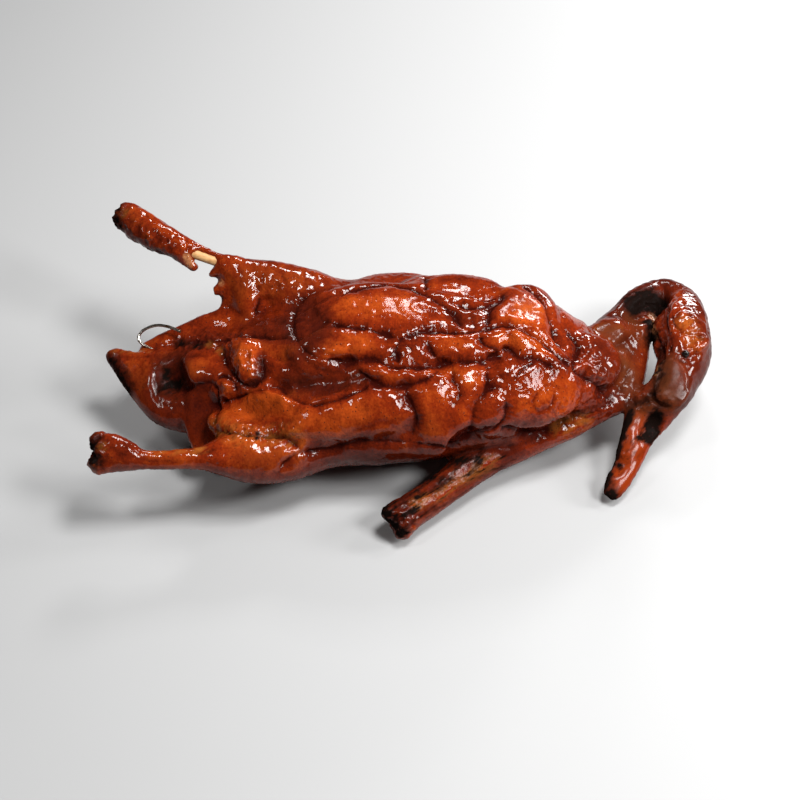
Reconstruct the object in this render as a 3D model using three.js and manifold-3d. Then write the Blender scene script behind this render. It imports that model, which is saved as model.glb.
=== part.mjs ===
// A whole roast duck, neck and head still on, lying on its back with its legs stiff in the air.
// It is three pieces: the duck itself, the shin bone that shows where the flesh has drawn back from the
// far leg, and the bent wire pin that closes the vent.
//
// Millimetres. +X runs from the tail to the neck, +Y to the side that the neck bends to, +Z up.
// The origin is under the middle of the duck, on the surface that it rests on.
//
// The skin is a field: negative inside, positive outside, about a distance in millimetres near the skin.
// Limbs and lobes add to the field, hollows cut into it, and one mesh is drawn over where it is zero.
import * as THREE from "three";
import { SimplifyModifier } from "three/addons/modifiers/SimplifyModifier.js";
import { mergeVertices } from "three/addons/utils/BufferGeometryUtils.js";
import Module from "manifold-3d";

// Driving dimensions.
const TRUNK_LENGTH = 283; // tail root to the front of the shoulders
const TRUNK_WIDTH = 131;
const TRUNK_HEIGHT = 84;
const TRUNK_START = -148; // where the trunk begins, at the tail
const BONE_RADIUS = 3.3;
const PIN_RADIUS = 0.95;
const CUT_END = 1.5; // how far a leg or wing runs on past its first station to its cut end
const CLEARANCE = 0.3; // between the flesh and what is stuck in it

// How the skin is drawn.
const CELL = 3; // spacing of the grid that the field is sampled on
const SKIN_TRIANGLES = 11200;
const FUSE = 9; // how softly limbs run into the trunk
const FOLD = 5; // how softly folds and small limbs run into each other
const LOBE = 8; // how softly a lobe rises from the skin
const CREASE_DEPTH = 1.3; // how much deeper a crease is cut than its figure, as few faces draw it
const CREASE_REACH = 1.35; // and how much further it runs out

// The trunk's sections, from tail to neck: share of the length, middle in y, middle in z, then half the
// width and half the height as shares of the whole width and height.
const TRUNK_SECTIONS = [
  [0.0, -1, 38, 0.18, 0.15],
  [0.05, 3, 37, 0.24, 0.2],
  [0.12, 9, 38, 0.265, 0.29],
  [0.21, 5, 36, 0.3, 0.4],
  [0.32, 5, 39.5, 0.46, 0.475],
  [0.42, 6, 40.5, 0.49, 0.495],
  [0.53, 7, 41, 0.5, 0.505],
  [0.63, 9, 41, 0.475, 0.505],
  [0.74, 11, 41, 0.44, 0.49],
  [0.85, 12, 37.5, 0.34, 0.425],
  [0.925, 12, 32.5, 0.22, 0.31],
  [1.0, 13, 30, 0.13, 0.2],
];

// Limbs, as stations along their middle: x, y, z, half the width, half the thickness.
const TAIL = [
  [-129, -2, 36, 18, 14],
  [-141, -2, 37, 15, 12],
  [-153, 1, 39, 11, 8.5],
  [-167, 8.5, 42, 7, 5],
];
const TAIL_FAT_EDGE = [
  [-177, 16, 44.5, 3, 3],
  [-168, 13.5, 45, 3.8, 3.8],
  [-157, 11.5, 45, 4.5, 4.5],
  [-134, 8, 44, 7, 7],
];
const TAIL_LOW_EDGE = [
  [-175.5, 15, 44, 3, 3],
  [-167, 5.7, 38, 5, 5],
  [-157.5, -7.3, 34, 6, 6],
  [-148, -16.9, 31, 7, 7],
  [-139, -19.7, 29, 8, 8],
  [-127, -21.4, 27, 9, 9],
];
const NEAR_LEG = [
  [-172.5, -72, 52, 5, 5.5],
  [-165.5, -72, 51.5, 7.5, 7.5],
  [-158.5, -73.5, 50.5, 7.5, 7.5],
  [-150, -75, 49, 5.6, 5.6],
  [-138, -74, 47.5, 5.4, 5.4],
  [-126, -72, 46, 5.6, 5.6],
  [-115, -69.5, 44, 7, 7],
  [-104, -67, 42, 11, 10],
  [-90, -64, 38.5, 15, 14],
  [-75, -60, 36, 16.5, 16],
  [-58, -53, 34, 15, 16],
  [-42, -44, 33, 12, 14],
];
const NEAR_KNOB_TOP = [
  [-172.5, -67.5, 56, 4.6, 4.6],
  [-167.5, -68.5, 55, 5.6, 5.6],
  [-158.5, -71.5, 52, 5, 5],
];
const NEAR_KNOB_LOW = [
  [-173.5, -77, 47.5, 4.8, 4.8],
  [-167.5, -76, 48, 5.6, 5.6],
  [-158.5, -75.5, 49, 5, 5],
];
const FAR_THIGH = [
  [-109, 56, 84.5, 4.5, 4.5],
  [-102, 55.5, 81.5, 7, 7],
  [-91, 54, 75.5, 11.5, 11.5],
  [-76, 52, 69, 16, 16],
  [-58, 48, 62, 20, 20],
  [-36, 43, 51, 22, 22],
];
const FAR_KNUCKLE = [
  [-173, 90.5, 96.5, 8.2, 7.5],
  [-168, 86.5, 96, 9, 8.6],
  [-160, 80, 95, 10, 9.5],
  [-150, 72.5, 94, 9.3, 9],
  [-142.5, 67.5, 92.7, 7.8, 7.8],
  [-136.5, 64, 91.6, 6.8, 6.6],
  [-132, 62.3, 90.6, 4.8, 4.6],
];
const FAR_TENDON = [
  [-142, 70, 96.5, 3, 3],
  [-131, 65.5, 93.6, 2.4, 2.4],
  [-121, 62.3, 91.2, 2.2, 2.2],
  [-112, 59.4, 88.6, 2.3, 2.3],
  [-102, 57, 84.5, 4, 4],
];
const BONE = [
  [-144, 65.9, 93.3],
  [-88, 50.3, 80.4],
];
const NEAR_WING = [
  [-2, -91, 12.5, 9.5, 9],
  [6, -84, 13, 10.2, 9.5],
  [24, -69, 14.5, 9.8, 9],
  [46, -50, 18, 11, 10],
  [70, -38, 22, 10, 11],
  [97, -29, 27, 8, 9],
  [122, -15, 30, 8, 8],
  [140, -7, 32, 5, 5],
];
const FAR_WING = [
  [-22, 80, 12.5, 9.5, 9],
  [-14, 81, 13, 10.2, 9.5],
  [10, 80, 14, 9.8, 9],
  [40, 75, 15, 11, 10],
  [72, 63, 18, 10, 11],
  [100, 48, 23, 9, 9],
  [122, 32, 28, 8, 8],
];
const NECK = [
  [114, 12, 33, 17, 17],
  [127, 29, 35, 18, 14],
  [139.5, 44.5, 36, 17.5, 13],
  [150.5, 61.7, 37, 14.5, 12],
  [159, 75, 38, 12, 10],
  [169.5, 85.5, 38, 7.5, 7.5],
  [180, 73, 40, 10.5, 9.5],
  [180.5, 58, 41, 12, 11.5],
];
const THROAT_SKIN = [
  [132, -6, 31, 9, 8],
  [139, 4, 32, 10.6, 8],
  [143.5, 21, 34, 10.8, 8],
  [147.5, 39, 35, 9.4, 7],
];
const HEAD = [
  [180, 60, 41, 12, 11],
  [177.5, 47, 42, 16, 13.5],
  [176.5, 32.5, 42, 18, 14.5],
  [176, 18, 41, 16, 14.5],
  [171, 5, 38.5, 14.5, 13],
  [164.5, -6.5, 35, 13.5, 11.5],
  [155, -15, 31, 12.5, 9],
];
const BILL = [
  [157, -12, 31, 12, 8],
  [151, -19, 28, 13.5, 7.5],
  [144, -32, 23, 10.5, 6],
  [138, -44, 17.5, 8.6, 4.6],
  [131.5, -56.5, 11.5, 8, 3.8],
  [127, -64.5, 7, 5.5, 3],
];
const FAR_SKIN_ROLL = [
  [-106, 53, 84, 4, 4],
  [-98.5, 49, 80.5, 6.5, 6],
  [-93.5, 42, 74, 8.5, 7],
  [-92.5, 35, 66.5, 9.5, 7.5],
  [-94, 28, 59, 9, 6.5],
];
const FAR_SKIN_WEB = [
  [-105, 54, 82, 5.5, 4.5],
  [-100.5, 45, 72, 10, 4.5],
  [-99, 36, 61, 12.5, 5],
  [-100, 26, 50, 16, 6],
];
const NEAR_GROIN = [
  [-107, -38, 42, 8, 8],
  [-97, -47, 43, 11, 9],
  [-88, -54, 40, 13, 11],
];
const VENT_RIM = [
  [-156, 22, 45, 5, 5],
  [-136, 26, 52, 7, 6],
  [-112, 33, 57, 8, 7],
  [-86, 28, 58, 8, 8],
  [-64, 14, 60, 8, 8],
];
const VENT_FLAP = [
  [-119, -9, 45, 12.5, 6],
  [-118, -25, 37.5, 13, 4.5],
  [-119, -37, 29, 9.5, 3.5],
  [-119.5, -43, 24, 5.5, 3],
];

// Lobes and creases are laid out on a flat sheet 800 units square. Its middle lies at SHEET_MIDDLE, it leans
// back by 45 degrees, and it is projected onto the trunk from VIEWPOINT, which its middle faces.
const SHEET_UNIT = 0.62;
const SHEET_MIDDLE = new THREE.Vector3(0, 0, 22.6);
const OUTLOOK = new THREE.Vector3(0, -1, 1).normalize();
const SHEET_UP = new THREE.Vector3(0, 1, 1).normalize();
const VIEWPOINT = SHEET_MIDDLE.clone().addScaledVector(OUTLOOK, 1075);

// Lobes of skin and muscle: the middle across and down the sheet, half the length, half the width, the turn
// in degrees, and how far the lobe stands out in millimetres.
const LOBES = {
  far_breast_long: [380, 308, 62, 24, -3, 6],
  far_flank_back: [396, 284, 36, 10, 0, 3.5],
  far_flank_middle: [432, 288, 20, 9, 0, 3],
  far_flank_front: [465, 289, 34, 11, 3, 4.5],
  far_breast_dome: [526, 311, 29, 26, -20, 6],
  far_hollow_fold: [465, 315, 30, 10, 0, 1.5],
  keel_far_back: [362, 343, 40, 15, -8, 5],
  keel_far_middle: [414, 347, 18, 15, 0, 4.5],
  keel_far_front: [463, 347, 30, 14, 3, 5],
  belly_far: [318, 350, 26, 12, 8, 3.5],
  crop_far_back: [506, 337, 24, 12, 5, 4.5],
  crop_far_front: [538, 347, 30, 12, -35, 4.5],
  breast_dome: [537, 387, 43, 30, -12, 6.5],
  shoulder_wedge: [578, 385, 26, 20, -40, 4],
  shoulder: [597, 360, 25, 20, -50, 7],
  keel_ridge: [398, 374, 34, 9, -3, 5],
  near_breast_big: [435, 408, 25, 32, 0, 6],
  near_breast_top: [470, 378, 17, 15, 0, 5],
  near_breast_low: [466, 408, 13, 20, -20, 4],
  near_breast_front: [490, 415, 15, 19, -15, 4],
  near_shoulder_low: [532, 408, 26, 16, 15, 3.5],
  near_flank_long: [358, 413, 56, 25, 6, 6.5],
  under_roll: [375, 452, 72, 10, 3, 4],
  vent_lump_big: [248, 367, 11, 16, -8, 5],
  vent_lump_top: [243, 347, 9, 7, 0, 3.5],
  vent_lump_small: [224, 387, 10, 11, 0, 4.5],
  vent_mound: [197, 370, 19, 15, 8, 4.5],
  inner_thigh: [250, 405, 36, 15, 10, 3.5],
  thigh_fold: [284, 424, 22, 12, 10, 3.5],
  neck_lump: [607, 332, 17, 10, 5, 5],
  crown: [689, 338, 17, 12, 5, 2],
  crown_back: [688, 313, 15, 11, -15, 1.5],
  cheek: [672, 383, 13, 24, 25, 1.5],
};

// Hollows, laid out in the same way, with their depth.
const HOLLOWS = {
  vent: [171, 380, 6.5, 10, 8, 9],
  vent_bowl: [171, 384, 17, 20, 0, 5],
  belly_valley: [315, 383, 40, 9, 4, 5],
  neck_bend: [647, 307, 18, 12, 20, 9],
  nostril: [651, 427, 12, 6, 62, 5],
  bill_pit: [618, 465, 3.5, 3, 60, 1],
};

// Creases between the lobes: how deep and how wide, in millimetres, then the line on the sheet.
const CREASES = {
  far_breast_under: [4, 7, [328, 322], [352, 326], [378, 331], [400, 339]],
  far_hollow_under: [3.5, 6, [400, 339], [424, 331], [455, 331], [480, 331]],
  crop_top: [3.5, 6, [480, 331], [503, 324], [530, 334], [556, 353], [575, 369]],
  far_breast_over: [3, 6, [336, 298], [356, 289], [388, 284], [420, 292], [446, 307], [463, 327]],
  far_hollow_over: [3.5, 6, [452, 303], [472, 307], [494, 303], [504, 293]],
  far_dome_back: [3, 6, [500, 291], [500, 299], [490, 309], [488, 326]],
  far_dome_front: [2.5, 6, [522, 284], [542, 300], [551, 322], [557, 346]],
  far_flank_gap: [2.5, 5, [425, 276], [426, 291]],
  keel: [4.5, 7, [322, 359], [346, 362], [372, 358], [398, 366], [440, 364], [480, 361], [488, 368]],
  keel_back_gap: [3.5, 6, [400, 339], [396, 351], [400, 366]],
  keel_front_gap: [3, 5, [427, 336], [431, 350], [440, 364]],
  keel_to_crop: [3.5, 6, [480, 331], [482, 341], [497, 352], [482, 361]],
  crop_under: [3.5, 6, [497, 352], [508, 349], [520, 356], [536, 358], [556, 371]],
  breast_line: [2, 5, [514, 379], [524, 369], [536, 359]],
  breast_back: [3.5, 6, [488, 368], [488, 389], [477, 403], [470, 430], [460, 441]],
  breast_top_back: [3, 5, [452, 364], [453, 379], [460, 392], [456, 404]],
  near_breast_back: [4, 7, [405, 386], [410, 402], [416, 419], [409, 442]],
  breast_ring: [1.2, 4, [541, 390], [533, 403], [540, 412], [551, 404], [556, 386]],
  front_low: [3, 6, [506, 398], [507, 412], [497, 429], [474, 436]],
  breast_under: [3.5, 7, [409, 442], [446, 448], [466, 438], [500, 428], [540, 434], [572, 416]],
  keel_ridge_under: [4, 6, [360, 371], [372, 381], [400, 386], [424, 380], [441, 366]],
  flank_top: [3, 7, [286, 393], [312, 405], [345, 396], [372, 382]],
  flank_under: [4, 7, [300, 452], [330, 449], [366, 442], [409, 442]],
  belly_fold: [3, 6, [298, 343], [312, 355], [322, 359]],
  belly_far_edge: [3, 7, [298, 343], [292, 325], [296, 306], [312, 292]],
  thigh_edge: [3.5, 6, [212, 430], [232, 433], [258, 435], [284, 437], [303, 452]],
  thigh_back: [3, 6, [303, 452], [290, 460], [278, 474]],
  vent_lumps: [3.5, 6, [222, 349], [226, 364], [235, 377], [248, 386], [261, 378], [263, 352]],
  vent_small_lump: [2.5, 5, [214, 384], [222, 376], [234, 384], [236, 397]],
  vent_mound_edge: [3, 6, [178, 390], [194, 386], [214, 384], [217, 404], [211, 430]],
  inner_thigh_fold: [3, 6, [217, 404], [246, 394], [276, 386], [290, 398]],
  vent_rim_fold: [3, 6, [190, 341], [222, 341], [250, 336], [290, 338]],
  far_web_back: [3, 6, [258, 290], [259, 305], [252, 320]],
  crown_edge: [1.5, 4, [668, 303], [667, 325], [671, 345], [666, 358]],
  throat_edge: [2.5, 5, [655, 330], [662, 352], [660, 378], [648, 402]],
  forehead: [2.5, 5, [634, 404], [652, 399], [664, 407], [676, 404]],
  shoulder_fold: [3, 6, [566, 330], [578, 348], [575, 369], [596, 386], [606, 398]],
};

// The pin's middle line, from its free tip round to the end that is buried in the flesh.
const PIN_LINE = [
  [-134.5, 20, 62],
  [-143, 25, 61.5],
  [-151, 28, 59.5],
  [-158.5, 27.5, 56],
  [-161.5, 24, 53],
  [-159, 20.5, 51],
  [-152, 17, 49.5],
  [-142, 13.5, 48],
  [-132, 11, 47],
];

const clamp = THREE.MathUtils.clamp;
const point = ([x, y, z]) => new THREE.Vector3(x, y, z);

// Joins two fields with a fillet about as wide as blend.
function join(a, b, blend) {
  const overlap = Math.max(blend - Math.abs(a - b), 0) / blend;
  return Math.min(a, b) - (overlap * overlap * blend) / 4;
}

// Cuts field b out of field a.
const cut = (a, b, blend) => -join(-a, b, blend);

// About how far it is to an ellipsoid, from a point given in shares of its three half axes.
function ellipsoidDistance(a, b, c, halfA, halfB, halfC) {
  const share = Math.sqrt(a * a + b * b + c * c);
  const slope = Math.sqrt((a / halfA) ** 2 + (b / halfB) ** 2 + (c / halfC) ** 2);
  return ((share - 1) * share) / (slope + 1e-6);
}

// The field of a limb: tapering oval sections along a smooth line through its stations. Its ends are
// round, or flatter with a smaller cap, or it starts with a flat cut.
function limb(stations, { up = [0, 0, 1], cap = 1, cutOff = false, piecesPerStation = 3 } = {}) {
  const line = new THREE.CatmullRomCurve3(stations.map(point), false, "catmullrom");
  const size = new THREE.CatmullRomCurve3(
    stations.map(([, , , width, thickness]) => new THREE.Vector3(width, thickness, 0)),
    false,
    "catmullrom",
  );
  const count = (stations.length - 1) * piecesPerStation;
  const pieces = Array.from({ length: count }, (_, i) => {
    const from = line.getPoint(i / count);
    const axis = line.getPoint((i + 1) / count).sub(from);
    const length = axis.length();
    axis.divideScalar(length);
    const across = axis.clone().cross(point(up)).normalize();
    const rise = across.clone().cross(axis);
    const [start, end] = [size.getPoint(i / count), size.getPoint((i + 1) / count)];
    return { from, axis, length, across, rise, start, end };
  });
  const offset = new THREE.Vector3();
  return (p) => {
    let nearest = Infinity;
    for (const piece of pieces) {
      offset.subVectors(p, piece.from);
      const share = clamp(offset.dot(piece.axis) / piece.length, 0, 1);
      offset.addScaledVector(piece.axis, -share * piece.length);
      const width = piece.start.x + (piece.end.x - piece.start.x) * share;
      const thickness = piece.start.y + (piece.end.y - piece.start.y) * share;
      const end = Math.min(width, thickness) * cap;
      const distance = ellipsoidDistance(
        offset.dot(piece.across) / width,
        offset.dot(piece.rise) / thickness,
        offset.dot(piece.axis) / end,
        width,
        thickness,
        end,
      );
      nearest = Math.min(nearest, distance);
    }
    if (!cutOff) return nearest;
    return cut(nearest, offset.subVectors(p, pieces[0].from).dot(pieces[0].axis) + CUT_END, 4);
  };
}

// The field of an ellipsoid with any three half axes, which needn't be square to each other.
function ellipsoid(middle, axes) {
  const toShares = new THREE.Matrix3()
    .set(
      axes[0].x, axes[1].x, axes[2].x,
      axes[0].y, axes[1].y, axes[2].y,
      axes[0].z, axes[1].z, axes[2].z,
    )
    .invert();
  const back = toShares.clone().transpose();
  const shares = new THREE.Vector3();
  const slope = new THREE.Vector3();
  return (p) => {
    shares.subVectors(p, middle).applyMatrix3(toShares);
    slope.copy(shares).applyMatrix3(back);
    const share = shares.length();
    return ((share - 1) * share) / (slope.length() + 1e-6);
  };
}

// The way that a field grows fastest at a point.
function slopeOf(field, p, step = 0.4) {
  const probe = (x, y, z) => field(new THREE.Vector3(p.x + x, p.y + y, p.z + z));
  return new THREE.Vector3(
    probe(step, 0, 0) - probe(-step, 0, 0),
    probe(0, step, 0) - probe(0, -step, 0),
    probe(0, 0, step) - probe(0, 0, -step),
  ).divideScalar(2 * step);
}

// Where a place on the sheet lands on the skin, or where its line passes closest to the skin.
function landing(field, [across, down]) {
  const onSheet = SHEET_MIDDLE.clone().addScaledVector(SHEET_UP, (400 - down) * SHEET_UNIT);
  onSheet.x += (across - 400) * SHEET_UNIT;
  const ray = onSheet.clone().sub(VIEWPOINT).normalize();
  const p = onSheet.addScaledVector(ray, -130);
  const best = { distance: Infinity, place: p.clone() };
  for (let step = 0; step < 400 && best.distance > 0.02; step++) {
    const distance = field(p);
    if (distance < best.distance) Object.assign(best, { distance, place: p.clone() });
    p.addScaledVector(ray, clamp(0.6 * distance, 0.3, 20));
  }
  return best.place;
}

// An ellipsoid that lies on the skin and shows as the given oval when seen from the viewpoint.
function ovalOn(field, [across, down, length, width, turn, depth]) {
  const middle = landing(field, [across, down]);
  const normal = slopeOf(field, middle).normalize();
  const ray = middle.clone().sub(VIEWPOINT).normalize();
  const scale = (SHEET_UNIT * middle.distanceTo(VIEWPOINT)) / 1075;
  const axis = (degrees, amount) => {
    const angle = THREE.MathUtils.degToRad(degrees);
    const flat = new THREE.Vector3(Math.cos(angle), 0, 0).addScaledVector(SHEET_UP, Math.sin(angle));
    flat.multiplyScalar(amount * scale);
    return flat.addScaledVector(ray, flat.dot(normal) / Math.max(-ray.dot(normal), 0.55));
  };
  return ellipsoid(middle, [axis(turn, length), axis(turn + 90, width), normal.multiplyScalar(depth)]);
}

// How far the creases cut in at a point. Each runs along a polyline of places on the skin and fades towards
// its ends, and where creases meet they run together.
function creaseDepth(field, creases) {
  const lines = creases.map(([depth, reach, ...line]) => {
    const spline = new THREE.CatmullRomCurve3(line.map(([across, down]) => point([across, down, 0])));
    const count = (line.length - 1) * 3;
    const places = spline.getPoints(count).map((place) => landing(field, [place.x, place.y]));
    const pieces = places.slice(1).map((to, i) => new THREE.Line3(places[i], to));
    const length = pieces.reduce((sum, piece) => sum + piece.distance(), 0);
    const room = new THREE.Box3().setFromPoints(places).expandByScalar(reach * CREASE_REACH);
    return { depth: depth * CREASE_DEPTH, reach: reach * CREASE_REACH, pieces, length, room };
  });
  const nearest = new THREE.Vector3();
  return (p) => {
    let total = 0;
    for (const { depth, reach, pieces, length, room } of lines) {
      if (!room.containsPoint(p)) continue;
      let [least, where, gone] = [reach, 0, 0];
      for (const piece of pieces) {
        const share = piece.closestPointToPointParameter(p, true);
        const distance = piece.at(share, nearest).distanceTo(p);
        if (distance < least) [least, where] = [distance, gone + share * piece.distance()];
        gone += piece.distance();
      }
      const fade = clamp(Math.min(where, length - where) / 6, 0.35, 1);
      total += (depth * fade * (1 - least / reach) ** 1.8) ** 3;
    }
    return Math.cbrt(total);
  };
}

// The whole duck's field.
function duckField() {
  const trunk = limb(
    TRUNK_SECTIONS.map(([along, y, z, width, height]) => [
      TRUNK_START + along * TRUNK_LENGTH,
      y,
      z,
      width * TRUNK_WIDTH,
      height * TRUNK_HEIGHT,
    ]),
    { cap: 0.5, piecesPerStation: 2 },
  );
  const facing = { up: OUTLOOK.toArray() };
  const fleshy = [
    limb(TAIL),
    limb(TAIL_FAT_EDGE),
    limb(TAIL_LOW_EDGE),
    limb(NEAR_LEG, { cutOff: true }),
    limb(NEAR_GROIN),
    limb(FAR_THIGH),
  ];
  const small = [
    limb(NEAR_KNOB_TOP),
    limb(NEAR_KNOB_LOW),
    limb(FAR_KNUCKLE, { cutOff: true }),
    limb(FAR_TENDON),
    limb(FAR_SKIN_ROLL),
    limb(FAR_SKIN_WEB, facing),
    limb(VENT_RIM),
    limb(VENT_FLAP, facing),
    limb(NEAR_WING, { cutOff: true }),
    limb(FAR_WING, { cutOff: true }),
    limb(NECK),
    limb(THROAT_SKIN),
    limb(HEAD, facing),
    limb(BILL, facing),
  ];
  const bare = (p) => {
    let skin = trunk(p);
    for (const part of fleshy) skin = join(skin, part(p), FUSE);
    for (const part of small) skin = join(skin, part(p), FOLD);
    return skin;
  };
  const lobes = Object.values(LOBES).map((lobe) => ovalOn(bare, lobe));
  const hollows = Object.values(HOLLOWS).map((hollow) => ovalOn(bare, hollow));
  const smooth = (p) => {
    let skin = bare(p);
    if (Math.abs(skin) > 20) return skin;
    for (const lobe of lobes) skin = join(skin, lobe(p), LOBE);
    for (const hollow of hollows) skin = cut(skin, hollow(p), LOBE);
    return skin;
  };
  const creases = creaseDepth(smooth, Object.values(CREASES));
  return (p) => {
    const skin = smooth(p);
    return Math.abs(skin) < 12 ? skin + creases(p) : skin;
  };
}

// Draws a mesh over where a field is zero: one vertex in each grid cell that the skin passes through, and
// one quad across each grid edge that it crosses.
function skinOver(field, box, cell) {
  const size = box.getSize(new THREE.Vector3());
  const [nx, ny, nz] = size.toArray().map((extent) => Math.ceil(extent / cell) + 1);
  const at = (i, j, k) => i + nx * (j + ny * k);
  const values = new Float32Array(nx * ny * nz);
  const p = new THREE.Vector3();
  for (let k = 0; k < nz; k++)
    for (let j = 0; j < ny; j++)
      for (let i = 0; i < nx; i++) {
        p.set(i, j, k).multiplyScalar(cell).add(box.min);
        values[at(i, j, k)] = field(p);
      }

  // Where only two opposite corners of a grid square are inside, two folds of skin would share an edge. They
  // are closer than a cell there, so they are let grow together.
  const [alongX, alongY, alongZ] = [at(1, 0, 0), at(0, 1, 0), at(0, 0, 1)];
  for (let grown = 1; grown > 0; ) {
    grown = 0;
    for (const [u, v] of [[alongX, alongY], [alongY, alongZ], [alongZ, alongX]])
      for (let a = 0; a < values.length - u - v; a++) {
        const inside = values[a] < 0;
        if (inside !== values[a + u + v] < 0 || values[a + u] < 0 !== values[a + v] < 0) continue;
        if (inside === values[a + u] < 0) continue;
        values[inside ? a + u : a] = -0.1 * cell;
        grown++;
      }
  }

  const corners = [0, 1, 2, 3, 4, 5, 6, 7].map((c) => [c & 1, (c >> 1) & 1, c >> 2]);
  const vertexOf = new Map();
  const positions = [];
  for (let k = 0; k < nz - 1; k++)
    for (let j = 0; j < ny - 1; j++)
      for (let i = 0; i < nx - 1; i++) {
        const held = corners.map(([a, b, c]) => values[at(i + a, j + b, k + c)]);
        if (held.every((value) => value < 0) || held.every((value) => value >= 0)) continue;
        const middle = new THREE.Vector3();
        let crossings = 0;
        for (let a = 0; a < 8; a++)
          for (const bit of [1, 2, 4]) {
            const b = a | bit;
            if (a === b || held[a] < 0 === held[b] < 0) continue;
            const share = held[a] / (held[a] - held[b]);
            middle.add(point(corners[a]).lerp(point(corners[b]), share));
            crossings++;
          }
        middle.divideScalar(crossings);
        vertexOf.set(at(i, j, k), positions.length);
        positions.push(middle.add(p.set(i, j, k)).multiplyScalar(cell).add(box.min));
      }

  const index = [];
  const steps = [[1, 0, 0], [0, 1, 0], [0, 0, 1]];
  for (let k = 1; k < nz - 1; k++)
    for (let j = 1; j < ny - 1; j++)
      for (let i = 1; i < nx - 1; i++)
        steps.forEach(([a, b, c], axis) => {
          const inside = values[at(i, j, k)] < 0;
          if (inside === values[at(i + a, j + b, k + c)] < 0) return;
          const [u, v] = [steps[(axis + 1) % 3], steps[(axis + 2) % 3]];
          const around = [[0, 0], [1, 0], [1, 1], [0, 1]].map(([s, t]) =>
            vertexOf.get(at(i - s * u[0] - t * v[0], j - s * u[1] - t * v[1], k - s * u[2] - t * v[2])),
          );
          const [w, x, y, z] = inside ? around : around.reverse();
          index.push(w, x, y, w, y, z);
        });

  const settled = positions.flatMap((vertex) => {
    for (let round = 0; round < 3; round++) {
      const slope = slopeOf(field, vertex);
      vertex.addScaledVector(slope, clamp(-field(vertex) / (slope.lengthSq() + 1e-3), -cell / 3, cell / 3));
    }
    return vertex.toArray();
  });
  return new THREE.BufferGeometry()
    .setAttribute("position", new THREE.Float32BufferAttribute(settled, 3))
    .setIndex(index);
}

// Flattens what would lie under the surface that the duck rests on.
function restOnFloor(geometry) {
  const position = geometry.getAttribute("position");
  for (let i = 0; i < position.count; i++) position.setZ(i, Math.max(position.getZ(i), 0));
  return geometry;
}

const wasm = await Module();
wasm.setup();

// A closed geometry as a solid that can be joined and cut.
function solidOf(geometry) {
  const bare = new THREE.BufferGeometry().setAttribute("position", geometry.getAttribute("position"));
  if (geometry.index) bare.setIndex(geometry.index);
  const merged = mergeVertices(bare, 1e-4);
  return new wasm.Manifold(
    new wasm.Mesh({
      numProp: 3,
      vertProperties: new Float32Array(merged.getAttribute("position").array),
      triVerts: new Uint32Array(merged.index.array),
    }),
  );
}

function geometryOf(solid) {
  const mesh = solid.getMesh();
  const geometry = new THREE.BufferGeometry()
    .setAttribute("position", new THREE.BufferAttribute(mesh.vertProperties, 3))
    .setIndex(new THREE.BufferAttribute(mesh.triVerts, 1));
  geometry.computeVertexNormals();
  return geometry;
}

// The shin bone, a little waisted, or the room for it when it is given more radius.
function boneGeometry(extra = 0) {
  const [from, to] = BONE.map(point);
  const length = from.distanceTo(to) + 2 * extra;
  const shares = [0, 0.06, 0.3, 0.55, 0.8, 0.94, 1];
  const girths = [0.7, 1.1, 1.0, 0.94, 1.0, 1.12, 0.75];
  const side = shares.map((share, i) => [BONE_RADIUS * girths[i] + extra, share * length]);
  const profile = [[0, 0], ...side, [0, length]].map(([radius, height]) => new THREE.Vector2(radius, height));
  const along = to.clone().sub(from).normalize();
  const turn = new THREE.Quaternion().setFromUnitVectors(new THREE.Vector3(0, 1, 0), along);
  return new THREE.LatheGeometry(profile, 12)
    .applyQuaternion(turn)
    .translate(...from.addScaledVector(along, -extra).toArray());
}

// The pin, or the room for it when it is given more radius.
function pinGeometry(extra = 0) {
  const path = new THREE.CatmullRomCurve3(PIN_LINE.map(point));
  const section = new THREE.Shape().absarc(0, 0, PIN_RADIUS + extra, 0, 2 * Math.PI);
  return new THREE.ExtrudeGeometry(section, { steps: 24, curveSegments: 4, extrudePath: path });
}

const roomForDuck = new THREE.Box3(new THREE.Vector3(-190, -108, -10), new THREE.Vector3(212, 110, 114));
const drawn = skinOver(duckField(), roomForDuck, CELL);
const dropped = drawn.getAttribute("position").count - SKIN_TRIANGLES / 2;
const skin = restOnFloor(await new SimplifyModifier().modify(drawn, dropped));
const duckSolid = solidOf(skin)
  .subtract(solidOf(boneGeometry(CLEARANCE)))
  .subtract(solidOf(pinGeometry(CLEARANCE)));

const roastSkin = new THREE.MeshStandardMaterial({ color: 0x8f3413, roughness: 0.3, metalness: 0 });
const bareBone = new THREE.MeshStandardMaterial({ color: 0xc79a5e, roughness: 0.55, metalness: 0 });
const steel = new THREE.MeshStandardMaterial({ color: 0xa8a39a, roughness: 0.3, metalness: 1 });

function named(name, geometry, material) {
  const mesh = new THREE.Mesh(geometry, material);
  mesh.name = name;
  return mesh;
}

const roastDuck = new THREE.Group();
roastDuck.add(
  named("duck", geometryOf(duckSolid), roastSkin),
  named("shin_bone", boneGeometry(), bareBone),
  named("vent_pin", pinGeometry(), steel),
);

// The origin goes under the middle of the duck.
const middle = new THREE.Box3().setFromObject(roastDuck).getCenter(new THREE.Vector3());
roastDuck.position.set(-middle.x, -middle.y, 0);

export default roastDuck;
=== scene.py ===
"""A whole roast duck on its back: glossy creased skin, a bare shin bone and a bent wire pin at the vent."""
import math

import bpy
import numpy as np
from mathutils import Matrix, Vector, noise


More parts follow.
